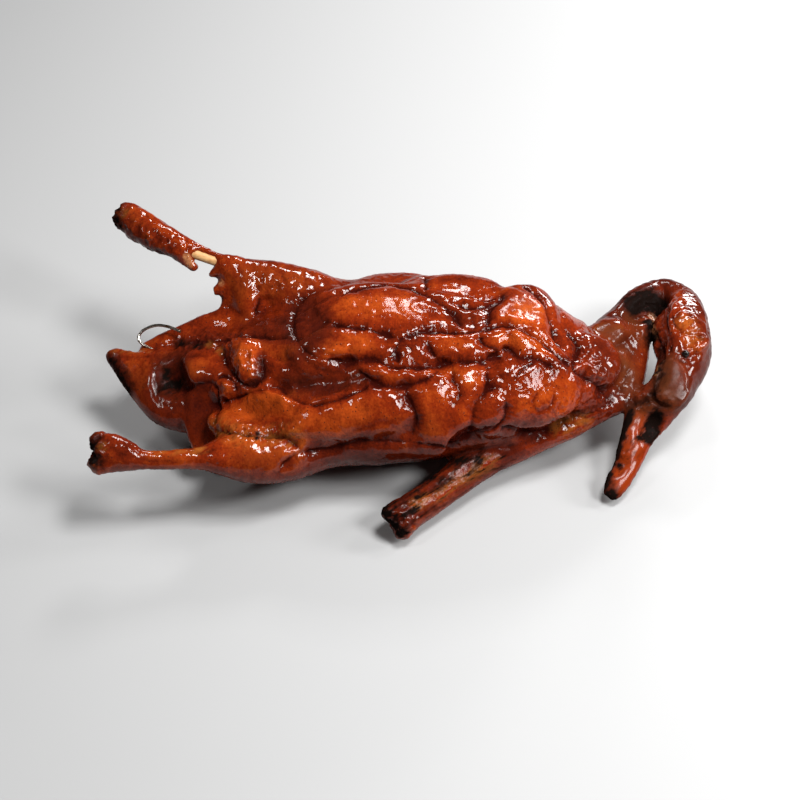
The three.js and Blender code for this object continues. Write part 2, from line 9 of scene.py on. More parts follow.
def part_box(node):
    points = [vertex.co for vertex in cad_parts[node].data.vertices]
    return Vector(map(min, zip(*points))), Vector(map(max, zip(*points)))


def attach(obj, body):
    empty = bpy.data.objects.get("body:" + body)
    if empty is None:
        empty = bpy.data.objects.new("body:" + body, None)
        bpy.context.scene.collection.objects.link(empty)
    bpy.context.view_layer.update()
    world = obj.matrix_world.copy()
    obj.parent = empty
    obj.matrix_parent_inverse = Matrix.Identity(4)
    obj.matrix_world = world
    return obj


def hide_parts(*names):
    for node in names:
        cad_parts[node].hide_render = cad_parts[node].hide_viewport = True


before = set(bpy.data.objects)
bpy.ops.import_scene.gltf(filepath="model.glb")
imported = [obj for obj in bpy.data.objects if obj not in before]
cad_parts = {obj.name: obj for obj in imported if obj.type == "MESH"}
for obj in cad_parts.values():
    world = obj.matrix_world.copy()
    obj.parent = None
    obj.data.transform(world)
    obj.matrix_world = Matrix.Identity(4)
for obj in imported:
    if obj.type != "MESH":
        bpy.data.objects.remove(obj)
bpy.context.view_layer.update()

# The duck's form, in millimetres, in the modelling frame of part.mjs.

TRUNK_START, TRUNK_LENGTH, TRUNK_WIDTH, TRUNK_HEIGHT = -148, 283, 131, 84
BONE_RADIUS, PIN_RADIUS, CUT_END = 3.3, 0.95, 1.5
FUSE, FOLD, LOBE = 9, 5, 8  # How wide the fillets are between thick limbs, thin ones and lobes.
CELL = 2.9  # The first mesh's cell, within the two corners below.
LOWEST, HIGHEST = np.array([-190, -108, -10]), np.array([212, 110, 114])
LIMB_MARGIN, OVAL_MARGIN = 26, 14  # How far beyond its own skin a form's field is worked out.
SKIN_TRIANGLES = 190000
CREASE_DEPTH, CREASE_REACH, WRINKLE_REACH = 0.9, 1.4, 3
EYE_RADIUS = 2.1

TRUNK_SECTIONS = [
    (0, -1, 38, 0.18, 0.15), (0.05, 3, 37, 0.24, 0.2), (0.12, 9, 38, 0.265, 0.29), (0.21, 5, 36, 0.3, 0.4),
    (0.32, 5, 39.5, 0.46, 0.475), (0.42, 6, 40.5, 0.49, 0.495), (0.53, 7, 41, 0.5, 0.505),
    (0.63, 9, 41, 0.475, 0.505), (0.74, 11, 41, 0.44, 0.49), (0.85, 12, 37.5, 0.34, 0.425),
    (0.925, 12, 32.5, 0.22, 0.31), (1, 13, 30, 0.13, 0.2),
]
TAIL = [(-129, -2, 36, 18, 14), (-141, -2, 37, 15, 12), (-153, 1, 39, 11, 8.5), (-167, 8.5, 42, 7, 5)]
TAIL_FAT_EDGE = [(-177, 16, 44.5, 3, 3), (-168, 13.5, 45, 3.8, 3.8), (-157, 11.5, 45, 4.5, 4.5),
                 (-134, 8, 44, 7, 7)]
TAIL_LOW_EDGE = [(-175.5, 15, 44, 3, 3), (-167, 5.7, 38, 5, 5), (-157.5, -7.3, 34, 6, 6),
                 (-148, -16.9, 31, 7, 7), (-139, -19.7, 29, 8, 8), (-127, -21.4, 27, 9, 9)]
NEAR_LEG = [(-172.5, -72, 52, 5, 5.5), (-165.5, -72, 51.5, 7.5, 7.5), (-158.5, -73.5, 50.5, 7.5, 7.5),
            (-150, -75, 49, 5.6, 5.6), (-138, -74, 47.5, 5.4, 5.4), (-126, -72, 46, 5.6, 5.6),
            (-115, -69.5, 44, 7, 7), (-104, -67, 42, 11, 10), (-90, -64, 38.5, 15, 14),
            (-75, -60, 36, 16.5, 16), (-58, -53, 34, 15, 16), (-42, -44, 33, 12, 14)]
NEAR_KNOBS = [[(-172.5, -67.5, 56, 4.6, 4.6), (-167.5, -68.5, 55, 5.6, 5.6), (-158.5, -71.5, 52, 5, 5)],
              [(-173.5, -77, 47.5, 4.8, 4.8), (-167.5, -76, 48, 5.6, 5.6), (-158.5, -75.5, 49, 5, 5)]]
FAR_THIGH = [(-109, 56, 84.5, 4.5, 4.5), (-102, 55.5, 81.5, 7, 7), (-91, 54, 75.5, 11.5, 11.5),
             (-76, 52, 69, 16, 16), (-58, 48, 62, 20, 20), (-36, 43, 51, 22, 22)]
FAR_KNUCKLE = [(-173, 90.5, 96.5, 8.2, 7.5), (-168, 86.5, 96, 9, 8.6), (-160, 80, 95, 10, 9.5),
               (-150, 72.5, 94, 9.3, 9), (-142.5, 67.5, 92.7, 7.8, 7.8), (-136.5, 64, 91.6, 6.8, 6.6),
               (-132, 62.3, 90.6, 4.8, 4.6)]
SCRAPS = [[(-135, 60, 88.5, 3.4, 3), (-131, 57.5, 85.5, 2.6, 2.4), (-127.5, 55.5, 83, 2.3, 2.2)],
          [(-109, 53.5, 83, 3.5, 3), (-115.5, 52, 81, 2.4, 2.4)],
          [(-109, 47, 75.5, 3.5, 3), (-115, 44.5, 73, 2.4, 2.4)],
          [(-2, -86, 17, 4, 4), (-7.5, -88.5, 17.5, 2.8, 2.8)], [(3, -91, 10, 4, 4), (0.5, -95, 8.5, 2.8, 2.8)]]
FAR_TENDON = [(-142, 70, 96.5, 3, 3), (-131, 65.5, 93.6, 2.4, 2.4), (-121, 62.3, 91.2, 2.2, 2.2),
              (-112, 59.4, 88.6, 2.3, 2.3), (-102, 57, 84.5, 4, 4)]
BONE = [(-144, 65.9, 93.3), (-88, 50.3, 80.4)]
NEAR_WING = [(-2, -91, 12.5, 9.5, 9), (6, -84, 13, 10.2, 9.5), (24, -69, 14.5, 9.8, 9), (46, -50, 18, 11, 10),
             (70, -38, 22, 10, 11), (97, -29, 27, 8, 9), (122, -15, 30, 8, 8), (140, -7, 32, 5, 5)]
FAR_WING = [(-22, 80, 12.5, 9.5, 9), (-14, 81, 13, 10.2, 9.5), (10, 80, 14, 9.8, 9), (40, 75, 15, 11, 10),
            (72, 63, 18, 10, 11), (100, 48, 23, 9, 9), (122, 32, 28, 8, 8)]
NECK = [(114, 12, 33, 17, 17), (127, 29, 35, 18, 14), (139.5, 44.5, 36, 17.5, 13), (150.5, 61.7, 37, 14.5, 12),
        (159, 75, 38, 12, 10), (169.5, 85.5, 38, 7.5, 7.5), (180, 73, 40, 10.5, 9.5), (180.5, 58, 41, 12, 11.5)]
THROAT_SKIN = [(132, -6, 31, 9, 8), (139, 4, 32, 10.6, 8), (143.5, 21, 34, 10.8, 8), (147.5, 39, 35, 9.4, 7)]
HEAD = [(180, 60, 41, 12, 11), (177.5, 47, 42, 16, 13.5), (176.5, 32.5, 42, 18, 14.5), (176, 18, 41, 16, 14.5),
        (171, 5, 38.5, 14.5, 13), (164.5, -6.5, 35, 13.5, 11.5), (155, -15, 31, 12.5, 9)]
BILL = [(157, -12, 31, 12, 8), (151, -19, 28, 13.5, 7.5), (144, -32, 23, 10.5, 6), (138, -44, 17.5, 8.6, 4.6),
        (131.5, -56.5, 11.5, 8, 3.8), (127, -64.5, 7, 5.5, 3)]
FAR_SKIN_ROLL = [(-106, 53, 84, 4, 4), (-98.5, 49, 80.5, 6.5, 6), (-93.5, 42, 74, 8.5, 7),
                 (-92.5, 35, 66.5, 9.5, 7.5), (-94, 28, 59, 9, 6.5)]
FAR_SKIN_WEB = [(-105, 54, 82, 5.5, 4.5), (-100.5, 45, 72, 10, 4.5), (-99, 36, 61, 12.5, 5),
                (-100, 26, 50, 16, 6)]
NEAR_GROIN = [(-107, -38, 42, 8, 8), (-97, -47, 43, 11, 9), (-88, -54, 40, 13, 11)]
VENT_RIM = [(-156, 22, 45, 5, 5), (-136, 26, 52, 7, 6), (-112, 33, 57, 8, 7), (-86, 28, 58, 8, 8),
            (-64, 14, 60, 8, 8)]
VENT_FLAP = [(-119, -9, 45, 12.5, 6), (-118, -25, 37.5, 13, 4.5), (-119, -37, 29, 9.5, 3.5),
             (-119.5, -43, 24, 5.5, 3)]

# The sheet that lobes, creases and tints are laid out on faces the camera: 800 units square, 0.62 mm each.
SHEET_HALF = 400
SHEET_UNIT = 0.62
SHEET_MIDDLE = np.array([0, 0, 22.6])
OUTLOOK = np.array([0, -1, 1]) / math.sqrt(2)
SHEET_UP = np.array([0, 1, 1]) / math.sqrt(2)
VIEW_DISTANCE = 1075
VIEWPOINT = SHEET_MIDDLE + OUTLOOK * VIEW_DISTANCE
BEFORE_SHEET, BEHIND_SHEET, STEPS = 130, 140, 260  # How far the lines of sight are followed.

LOBES = {
    "far_breast_long": (380, 308, 62, 24, -3, 6), "far_flank_back": (396, 284, 36, 10, 0, 3.5),
    "far_flank_middle": (432, 288, 20, 9, 0, 3), "far_flank_front": (465, 289, 34, 11, 3, 4.5),
    "far_breast_dome": (526, 311, 29, 26, -20, 6), "far_hollow_fold": (465, 315, 30, 10, 0, 1.5),
    "keel_far_back": (362, 343, 40, 15, -8, 5), "keel_far_middle": (414, 347, 18, 15, 0, 4.5),
    "keel_far_front": (463, 347, 30, 14, 3, 5), "belly_far": (318, 350, 26, 12, 8, 3.5),
    "crop_far_back": (506, 337, 24, 12, 5, 4.5), "crop_far_front": (538, 347, 30, 12, -35, 4.5),
    "breast_dome": (537, 387, 43, 30, -12, 6.5), "shoulder_wedge": (578, 385, 26, 20, -40, 4),
    "shoulder": (597, 360, 25, 20, -50, 7), "keel_ridge": (398, 374, 34, 9, -3, 5),
    "near_breast_big": (435, 408, 25, 32, 0, 6), "near_breast_top": (470, 378, 17, 15, 0, 5),
    "near_breast_low": (466, 408, 13, 20, -20, 4), "near_breast_front": (490, 415, 15, 19, -15, 4),
    "near_shoulder_low": (532, 408, 26, 16, 15, 3.5), "near_flank_long": (358, 413, 56, 25, 6, 6.5),
    "under_roll": (375, 452, 72, 10, 3, 4), "vent_lump_big": (248, 367, 11, 16, -8, 5),
    "vent_lump_top": (243, 347, 9, 7, 0, 3.5), "vent_lump_small": (224, 387, 10, 11, 0, 4.5),
    "vent_mound": (197, 370, 19, 15, 8, 4.5), "inner_thigh": (250, 405, 36, 15, 10, 3.5),
    "thigh_fold": (284, 424, 22, 12, 10, 3.5), "neck_lump": (607, 332, 17, 10, 5, 5),
    "crown": (689, 338, 17, 12, 5, 2), "crown_back": (688, 313, 15, 11, -15, 1.5),
    "cheek": (672, 383, 13, 24, 25, 1.5),
}
HOLLOWS = {
    "vent": (171, 380, 6.5, 10, 8, 9), "vent_bowl": (171, 384, 17, 20, 0, 5),
    "belly_valley": (315, 383, 40, 9, 4, 5), "neck_bend": (647, 307, 18, 12, 20, 9),
    "nostril": (651, 427, 12, 6, 62, 5), "bill_pit": (618, 465, 3.5, 3, 60, 1),
}

# Creases: how deep and how far they reach, in millimetres, then the x and y of each point of their line on
# the sheet, in turn.
CREASES = {
    "far_breast_under": (4, 7, 328, 322, 352, 326, 378, 331, 400, 339),
    "far_hollow_under": (3.5, 6, 400, 339, 424, 331, 455, 331, 480, 331),
    "crop_top": (3.5, 6, 480, 331, 503, 324, 530, 334, 556, 353, 575, 369),
    "far_breast_over": (3, 6, 336, 298, 356, 289, 388, 284, 420, 292, 446, 307, 463, 327),
    "far_hollow_over": (3.5, 6, 452, 303, 472, 307, 494, 303, 504, 293),
    "far_dome_back": (3, 6, 500, 291, 500, 299, 490, 309, 488, 326),
    "far_dome_front": (2.5, 6, 522, 284, 542, 300, 551, 322, 557, 346),
    "far_flank_gap": (2.5, 5, 425, 276, 426, 291),
    "keel": (4.5, 7, 322, 359, 346, 362, 372, 358, 398, 366, 440, 364, 480, 361, 488, 368),
    "keel_back_gap": (3.5, 6, 400, 339, 396, 351, 400, 366),
    "keel_front_gap": (3, 5, 427, 336, 431, 350, 440, 364),
    "keel_to_crop": (3.5, 6, 480, 331, 482, 341, 497, 352, 482, 361),
    "crop_under": (3.5, 6, 497, 352, 508, 349, 520, 356, 536, 358, 556, 371),
    "breast_line": (2, 5, 514, 379, 524, 369, 536, 359),
    "breast_back": (3.5, 6, 488, 368, 488, 389, 477, 403, 470, 430, 460, 441),
    "breast_top_back": (3, 5, 452, 364, 453, 379, 460, 392, 456, 404),
    "near_breast_back": (4, 7, 405, 386, 410, 402, 416, 419, 409, 442),
    "breast_ring": (0.7, 4, 541, 390, 533, 403, 540, 412, 551, 404, 556, 386),
    "front_low": (3, 6, 506, 398, 507, 412, 497, 429, 474, 436),
    "breast_under": (3.5, 7, 409, 442, 446, 448, 466, 438, 500, 428, 540, 434, 572, 416),
    "keel_ridge_under": (4, 6, 360, 371, 372, 381, 400, 386, 424, 380, 441, 366),
    "flank_top": (3, 7, 286, 393, 312, 405, 345, 396, 372, 382),
    "flank_under": (4, 7, 300, 452, 330, 449, 366, 442, 409, 442),
    "belly_fold": (3, 6, 298, 343, 312, 355, 322, 359),
    "belly_far_edge": (3, 7, 298, 343, 292, 325, 296, 306, 312, 292),
    "thigh_edge": (3.5, 6, 212, 430, 232, 433, 258, 435, 284, 437, 303, 452),
    "thigh_back": (3, 6, 303, 452, 290, 460, 278, 474),
    "vent_lumps": (3.5, 6, 222, 349, 226, 364, 235, 377, 248, 386, 261, 378, 263, 352),
    "vent_small_lump": (2.5, 5, 214, 384, 222, 376, 234, 384, 236, 397),
    "vent_mound_edge": (3, 6, 178, 390, 194, 386, 214, 384, 217, 404, 211, 430),
    "inner_thigh_fold": (3, 6, 217, 404, 246, 394, 276, 386, 290, 398),
    "vent_rim_fold": (3, 6, 190, 341, 222, 341, 250, 336, 290, 338),
    "far_web_back": (3, 6, 258, 290, 259, 305, 252, 320),
    "crown_edge": (1.5, 4, 668, 303, 667, 325, 671, 345, 666, 358),
    "throat_edge": (2.5, 5, 655, 330, 662, 352, 660, 378, 648, 402),
    "forehead": (2.5, 5, 634, 404, 652, 399, 664, 407, 676, 404),
    "shoulder_fold": (3, 6, 566, 330, 578, 348, 575, 369, 596, 386, 606, 398),
}
# Finer wrinkles that only the skin's surface shows, from the belly to the breast, then the thigh, the vent,
# the shoulder, the wing, the neck, the head and the legs.
WRINKLES = [
    (1.5, 4, 292, 303, 318, 292, 348, 283), (1.5, 4, 294, 315, 322, 300, 345, 291),
    (1.4, 4, 300, 326, 322, 312, 338, 300), (1.2, 4, 306, 330, 320, 318, 332, 303),
    (1.6, 5, 268, 352, 284, 360, 300, 352), (1.6, 5, 270, 378, 290, 388, 312, 384, 330, 376),
    (1.2, 4, 300, 352, 312, 366, 328, 372, 346, 372), (1, 4, 282, 362, 296, 372, 310, 384),
    (0.8, 3, 308, 336, 326, 322, 338, 308), (1.2, 4, 302, 347, 320, 338, 340, 334),
    (1, 3, 324, 351, 334, 343, 342, 344), (1.2, 4, 346, 361, 350, 350, 352, 342),
    (1, 3, 402, 345, 411, 349, 414, 358), (1.2, 3.5, 425, 345, 434, 354, 441, 362),
    (1.2, 4, 450, 310, 458, 319, 466, 328), (1.2, 4, 468, 314, 473, 322, 477, 331),
    (1, 3, 483, 306, 488, 317), (0.7, 3, 536, 291, 548, 310, 553, 332),
    (0.9, 3, 500, 282, 512, 285, 532, 296), (0.8, 3, 561, 312, 566, 324, 576, 335),
    (1, 3.5, 505, 326, 510, 336, 508, 348), (0.9, 3, 536, 341, 532, 350, 534, 358),
    (1, 3, 495, 370, 504, 381, 511, 385), (0.8, 3, 552, 382, 560, 392, 568, 388),
    (1, 3, 428, 371, 438, 379, 447, 388), (0.8, 3, 415, 375, 424, 384),
    (0.7, 3, 352, 404, 362, 411, 374, 410), (0.7, 3, 395, 388, 401, 401),
    (0.6, 3, 338, 440, 362, 428, 400, 420), (0.9, 3, 254, 423, 268, 413, 277, 398),
    (0.8, 3, 240, 424, 254, 419, 264, 424), (0.9, 3, 262, 430, 276, 434, 296, 442),
    (0.9, 3, 178, 361, 196, 355, 212, 360), (1.4, 4, 157, 372, 158, 396, 170, 406, 186, 402),
    (1.2, 4, 166, 352, 180, 346, 200, 343), (1.2, 3.5, 118, 357, 140, 357, 158, 356),
    (1.2, 4, 152, 360, 156, 385, 160, 412), (1.2, 4, 182, 388, 185, 410, 186, 428),
    (1.2, 4, 575, 418, 598, 410, 618, 398), (0.9, 3, 560, 428, 590, 420, 612, 408),
    (0.9, 3, 478, 440, 512, 438, 545, 426), (0.8, 3, 500, 448, 530, 442, 566, 424),
    (0.8, 3, 582, 350, 596, 345, 606, 352), (0.8, 3, 580, 372, 592, 384, 604, 388),
    (0.9, 3, 400, 512, 436, 488, 480, 460), (0.9, 3, 412, 520, 450, 496, 500, 466),
    (0.8, 3, 608, 352, 626, 340, 640, 330), (0.9, 3, 618, 394, 628, 372, 634, 348),
    (0.8, 3, 604, 322, 622, 310, 634, 298), (0.8, 3, 676, 300, 684, 305, 697, 303),
    (0.9, 3, 672, 312, 682, 322, 680, 338), (0.9, 3, 686, 312, 694, 322, 704, 322),
    (0.8, 3, 684, 332, 694, 334, 705, 332),
    (1, 2.5, 677, 354, 681, 347, 690, 347, 694, 354, 688, 362, 680, 361, 677, 354),
    (0.8, 3, 697, 365, 690, 384, 678, 402), (0.8, 3, 668, 362, 664, 380, 660, 398),
    (0.9, 2.5, 642, 412, 628, 436, 617, 460, 611, 482), (0.6, 2.5, 656, 440, 641, 452, 628, 476),
    (0.9, 3, 140, 222, 160, 236, 180, 252), (0.8, 3, 128, 216, 140, 214, 154, 220),
    (0.8, 3, 105, 444, 125, 455, 160, 462, 200, 462), (0.8, 3, 190, 455, 215, 450, 250, 443),
    (1, 3.5, 232, 262, 240, 276, 240, 296), (1, 3.5, 222, 300, 232, 310, 246, 318),
    (0.8, 3, 254, 270, 258, 285, 256, 296),
]

# Tints: how strong they are and how far they reach, in millimetres, then their line on the sheet.
# Near-black: burnt skin at the cut ends, the wing's ends, the bill and the eye; the marks in the vent's hole, the
# nostril, the neck's hollow and along some creases and valleys are painted shade.
CHAR_AND_SHADE = [
    (0.9, 9, 172, 374, 170, 388), (0.9, 24, 172, 382), (0.9, 8, 178, 345, 200, 346),
    (0.7, 9, 184, 352, 166, 362), (0.85, 13, 117, 205, 118, 222), (0.5, 9, 132, 232, 158, 250),
    (1.05, 11, 95, 442, 97, 460), (1.1, 10, 385, 512, 402, 530), (0.75, 14, 396, 503, 430, 480, 474, 452),
    (0.8, 5, 423, 516, 436, 506), (0.5, 15, 400, 520, 450, 490, 500, 458),
    (1.25, 16, 634, 303, 650, 302, 661, 312), (1.05, 11, 650, 325, 654, 342),
    (0.9, 6, 660, 350, 658, 380, 648, 400), (0.7, 7, 630, 405, 650, 401, 664, 405),
    (1.3, 9, 656, 417, 648, 436), (0.8, 7, 640, 440, 650, 430),
    (1.2, 5, 631, 412, 620, 440, 611, 468, 605, 488), (1, 14, 609, 493), (1.1, 9, 603, 497, 612, 502),
    (1.2, 4, 618, 465), (0.55, 9, 632, 448, 622, 470), (0.8, 4, 222, 298), (1, 11, 112, 362, 128, 388),
    (0.6, 8, 150, 420, 168, 428), (0.5, 11, 295, 386, 330, 391, 362, 378),
    (0.6, 7, 238, 387, 258, 380, 262, 355), (0.9, 3, 258, 433, 257, 438), (0.6, 5, 275, 433, 296, 442),
    (1, 4, 685, 354), (0.5, 8, 282, 318, 290, 338), (0.5, 7, 560, 420, 600, 404, 622, 392),
    (0.4, 8, 470, 438, 500, 436),
]
# Dark plum-brown: the skin's own deeper roast on the head, neck and wing; the marks on the belly's left-facing
# slope and in its valley, in the vent's bowl and along the underside are painted shade.
PLUM = [
    (1, 17, 300, 305, 318, 328, 300, 350), (0.9, 13, 282, 322, 292, 338), (0.7, 15, 195, 392, 200, 428),
    (0.6, 11, 200, 376, 186, 380), (0.6, 13, 135, 378, 160, 405), (0.8, 17, 600, 346, 612, 385, 625, 400),
    (1, 16, 604, 318, 625, 312), (1, 14, 614, 328, 630, 345), (0.7, 15, 622, 365, 634, 385),
    (0.7, 15, 310, 458, 370, 458, 430, 452), (0.5, 10, 320, 287, 350, 281), (0.6, 12, 490, 442, 540, 432),
    (0.8, 18, 668, 350, 662, 385), (0.6, 12, 690, 372), (0.7, 14, 250, 325, 275, 332),
    (0.6, 10, 455, 316, 480, 322), (0.5, 12, 300, 372, 350, 374),
    (1.1, 20, 703, 298, 712, 330, 706, 365, 690, 395), (1.1, 20, 640, 284, 670, 280, 694, 288),
    (0.5, 8, 636, 412, 660, 408), (0.5, 13, 120, 215, 138, 236, 160, 250), (0.45, 13, 120, 455, 160, 462),
    (0.5, 20, 370, 438, 430, 438), (0.4, 14, 115, 360, 140, 398, 165, 425), (0.6, 20, 250, 275, 300, 282),
    (0.35, 14, 102, 448, 130, 456), (0.4, 16, 120, 375, 150, 405, 175, 425),
    (0.8, 9, 157, 366, 154, 396, 170, 410, 188, 400), (0.8, 9, 160, 360, 186, 362),
    (1, 14, 295, 384, 330, 388), (0.5, 10, 195, 338, 245, 336, 280, 338), (0.6, 16, 250, 462, 290, 466),
    (1.1, 17, 400, 515, 450, 485, 505, 452), (0.6, 14, 640, 355, 632, 395),
]
# Amber: the skin's own lighter roast on the lobes, partly painted light: the marks on the crop, the far dome and
# the inner thigh are painted highlight and lamp light.
AMBER = [
    (1, 20, 350, 308, 400, 305), (0.7, 12, 350, 338, 375, 345), (0.6, 11, 455, 345, 440, 340),
    (1.1, 18, 515, 314, 535, 310), (0.8, 19, 530, 395, 560, 395), (0.8, 20, 435, 400, 430, 420),
    (0.7, 13, 465, 410), (0.8, 20, 310, 425, 360, 415, 390, 430), (1, 17, 230, 440, 270, 450, 285, 455),
    (1.5, 18, 225, 415, 265, 402, 285, 400), (0.9, 16, 225, 432, 260, 436, 290, 440),
    (0.8, 10, 243, 352, 250, 370), (1.1, 10, 225, 390), (0.6, 14, 236, 268, 242, 296),
    (0.5, 14, 228, 322, 250, 310), (0.7, 12, 330, 352, 352, 350), (0.9, 13, 388, 372, 440, 368, 480, 375),
    (0.7, 12, 262, 345, 285, 350), (0.8, 10, 195, 365), (1, 12, 503, 340, 520, 340, 545, 348),
    (0.7, 13, 452, 342, 480, 348), (0.6, 11, 430, 287, 500, 290), (0.6, 17, 262, 280, 290, 285),
    (0.6, 13, 685, 326, 695, 342), (0.5, 9, 150, 458, 185, 455), (0.5, 12, 470, 288, 490, 292),
    (0.5, 10, 134, 362, 142, 372),
]
# Ochre: fat and golden streaks on the thigh, wing, tail, legs and crown; the wide, faint mark on the far dome is
# painted sheen.
OCHRE = [
    (0.5, 14, 215, 430, 250, 436, 292, 438), (0.8, 7, 438, 497, 455, 486), (0.8, 9, 460, 480, 492, 462),
    (0.9, 7, 416, 504, 426, 499), (0.5, 10, 560, 428, 585, 420), (0.5, 4.5, 112, 352, 148, 351),
    (0.9, 5, 102, 447), (0.8, 6, 124, 214), (0.5, 11, 686, 322, 694, 340), (0.5, 5, 150, 452, 196, 452),
    (0.3, 9, 602, 328, 616, 328), (0.3, 18, 528, 308), (0.5, 5, 208, 343, 222, 352),
    (0.8, 4, 196, 448, 204, 450),
]

# Where the skin is smooth, and where it is crumpled.
CALM = [
    (1, 17, 640, 426, 628, 450, 614, 485), (1, 13, 198, 395, 198, 430), (0.9, 16, 125, 370, 150, 400),
    (0.9, 14, 171, 384), (0.8, 14, 197, 370), (0.8, 14, 238, 290, 245, 312), (0.8, 16, 676, 365, 668, 395),
    (0.6, 16, 610, 350, 622, 385), (0.7, 10, 695, 370, 680, 400),
]
CRUMPLED = [
    (1, 10, 652, 310, 658, 345), (0.35, 13, 685, 326, 695, 342), (1, 11, 94, 441, 95, 462),
    (1, 13, 388, 519, 404, 528), (1, 11, 113, 206, 112, 222), (0.8, 12, 150, 240, 182, 250, 190, 256),
    (0.7, 14, 190, 343, 215, 343, 240, 340), (0.7, 12, 232, 432, 262, 432, 290, 436),
    (0.7, 14, 590, 355, 598, 380), (0.5, 14, 405, 505, 440, 480), (0.6, 10, 640, 403, 660, 400),
    (0.5, 12, 460, 315, 480, 318), (0.4, 13, 505, 395, 560, 410), (0.35, 16, 262, 285, 300, 290),
    (0.5, 16, 575, 345, 600, 365, 596, 385), (0.5, 12, 222, 345, 245, 360, 228, 388),
    (0.4, 14, 548, 420, 600, 400), (0.35, 12, 120, 352, 150, 358), (0.35, 13, 128, 228, 160, 248),
]

# More tints: bare meat at tears, olive brown, and the bill's red.
TORN = [
    (0.9, 3.5, 186, 256, 190, 264), (0.7, 3.5, 221, 283), (0.8, 4, 652, 316, 656, 336),
    (0.8, 3, 655, 362, 656, 372),
]
OLIVE = [
    (0.75, 19, 664, 372, 668, 395), (0.7, 12, 650, 402, 636, 410), (0.55, 15, 606, 330, 616, 334),
    (0.6, 14, 632, 320, 640, 334), (0.65, 15, 622, 352, 630, 385),
]
BILL_RED = [(1, 12, 640, 426, 628, 450, 618, 480)]

# Where the skin is dry rather than glossy, where it is lumpy, where fine wrinkles cross it, and where the
# burnt and the ochre patches run into streaks.
DRY = [
    (0.55, 32, 526, 306), (0.4, 26, 365, 298, 405, 308), (1, 20, 668, 370, 664, 400),
    (0.6, 14, 640, 425, 618, 475), (0.45, 20, 640, 288, 690, 290), (0.6, 14, 622, 350, 632, 385),
    (0.7, 10, 606, 330, 616, 334), (0.5, 18, 172, 384), (0.75, 17, 412, 507, 440, 490, 500, 456),
    (0.7, 14, 505, 452, 530, 440), (0.4, 16, 130, 375, 160, 405), (0.6, 12, 196, 400, 196, 430),
    (0.5, 9, 95, 450), (0.5, 9, 115, 213),
]
LUMPY = [
    (0.9, 17, 684, 315, 696, 342), (1, 14, 94, 438, 95, 464), (0.9, 15, 116, 208, 130, 228, 150, 242),
    (0.7, 14, 388, 519, 404, 528), (0.6, 18, 588, 350, 600, 380), (0.6, 16, 225, 350, 250, 370, 228, 390),
    (0.4, 16, 262, 285, 300, 290), (0.4, 14, 190, 345, 215, 345),
]
WRINKLED = [
    (1, 22, 295, 318, 330, 300), (0.7, 18, 300, 350, 330, 345), (0.8, 14, 560, 424, 610, 404),
    (0.5, 14, 455, 318, 480, 320), (0.6, 14, 240, 440, 285, 440), (0.6, 14, 610, 350, 622, 385),
    (0.7, 14, 400, 510, 450, 485, 500, 460), (0.5, 12, 490, 442, 540, 434), (0.6, 14, 215, 345, 240, 345),
]
STREAKED = [
    (1.2, 16, 392, 520, 440, 490, 500, 458), (0.5, 9, 640, 425, 618, 475), (0.6, 15, 668, 366, 660, 400),
    (0.3, 12, 130, 452, 200, 455),
]
EYE = (686, 354)

# The far wing stub's burnt end, which the photo hides, as (strength, reach, points in millimetres).
FAR_WING_END = np.array([(-26, 80, 12.5), (-19, 80.5, 12.5)])
HIDDEN = {"lumpy": [(0.7, 16, FAR_WING_END)], "char_and_shade": [(1.6, 20, FAR_WING_END)],
          "dry": [(0.6, 16, FAR_WING_END)]}

PIN_LINE = [(-134.5, 20, 62), (-143, 25, 61.5), (-151, 28, 59.5), (-158.5, 27.5, 56), (-161.5, 24, 53),
            (-159, 20.5, 51), (-152, 17, 49.5), (-142, 13.5, 48), (-132, 11, 47)]
BONE_GIRTH = [(0, 0.7), (0.06, 1.1), (0.3, 1.0), (0.55, 0.94), (0.8, 1.0), (0.94, 1.12), (1, 0.75)]
BONE_RINGS, PIN_RINGS = 40, 97

FAR = 1e3  # Farther than anything here.


def join(a, b, blend):
    """Joins two fields with a fillet about as wide as blend."""
    overlap = np.maximum(blend - np.abs(a - b), 0) / blend
    return np.minimum(a, b) - overlap * overlap * blend / 4


def cut(a, b, blend):
    """Cuts field b out of field a."""
    return -join(-a, b, blend)


def unit(v):
    return v / np.linalg.norm(v, axis=1)[:, None]


def between(p, low, high):
    """Which points lie in a box."""
    return np.flatnonzero(((p > low) & (p < high)).all(1))


def spline(stations, count):
    """Points at even steps along a smooth line through the stations."""
    s = np.asarray(stations, float)
    s = np.vstack([2 * s[0] - s[1], s, 2 * s[-1] - s[-2]])
    t = np.linspace(0, len(s) - 3, count + 1)
    k = np.minimum(t.astype(int), len(s) - 4)
    w = (t - k)[:, None]
    a, b, c, d = s[k], s[k + 1], s[k + 2], s[k + 3]
    return b + 0.5 * w * (c - a + w * (2 * a - 5 * b + 4 * c - d + w * (3 * (b - c) + d - a)))


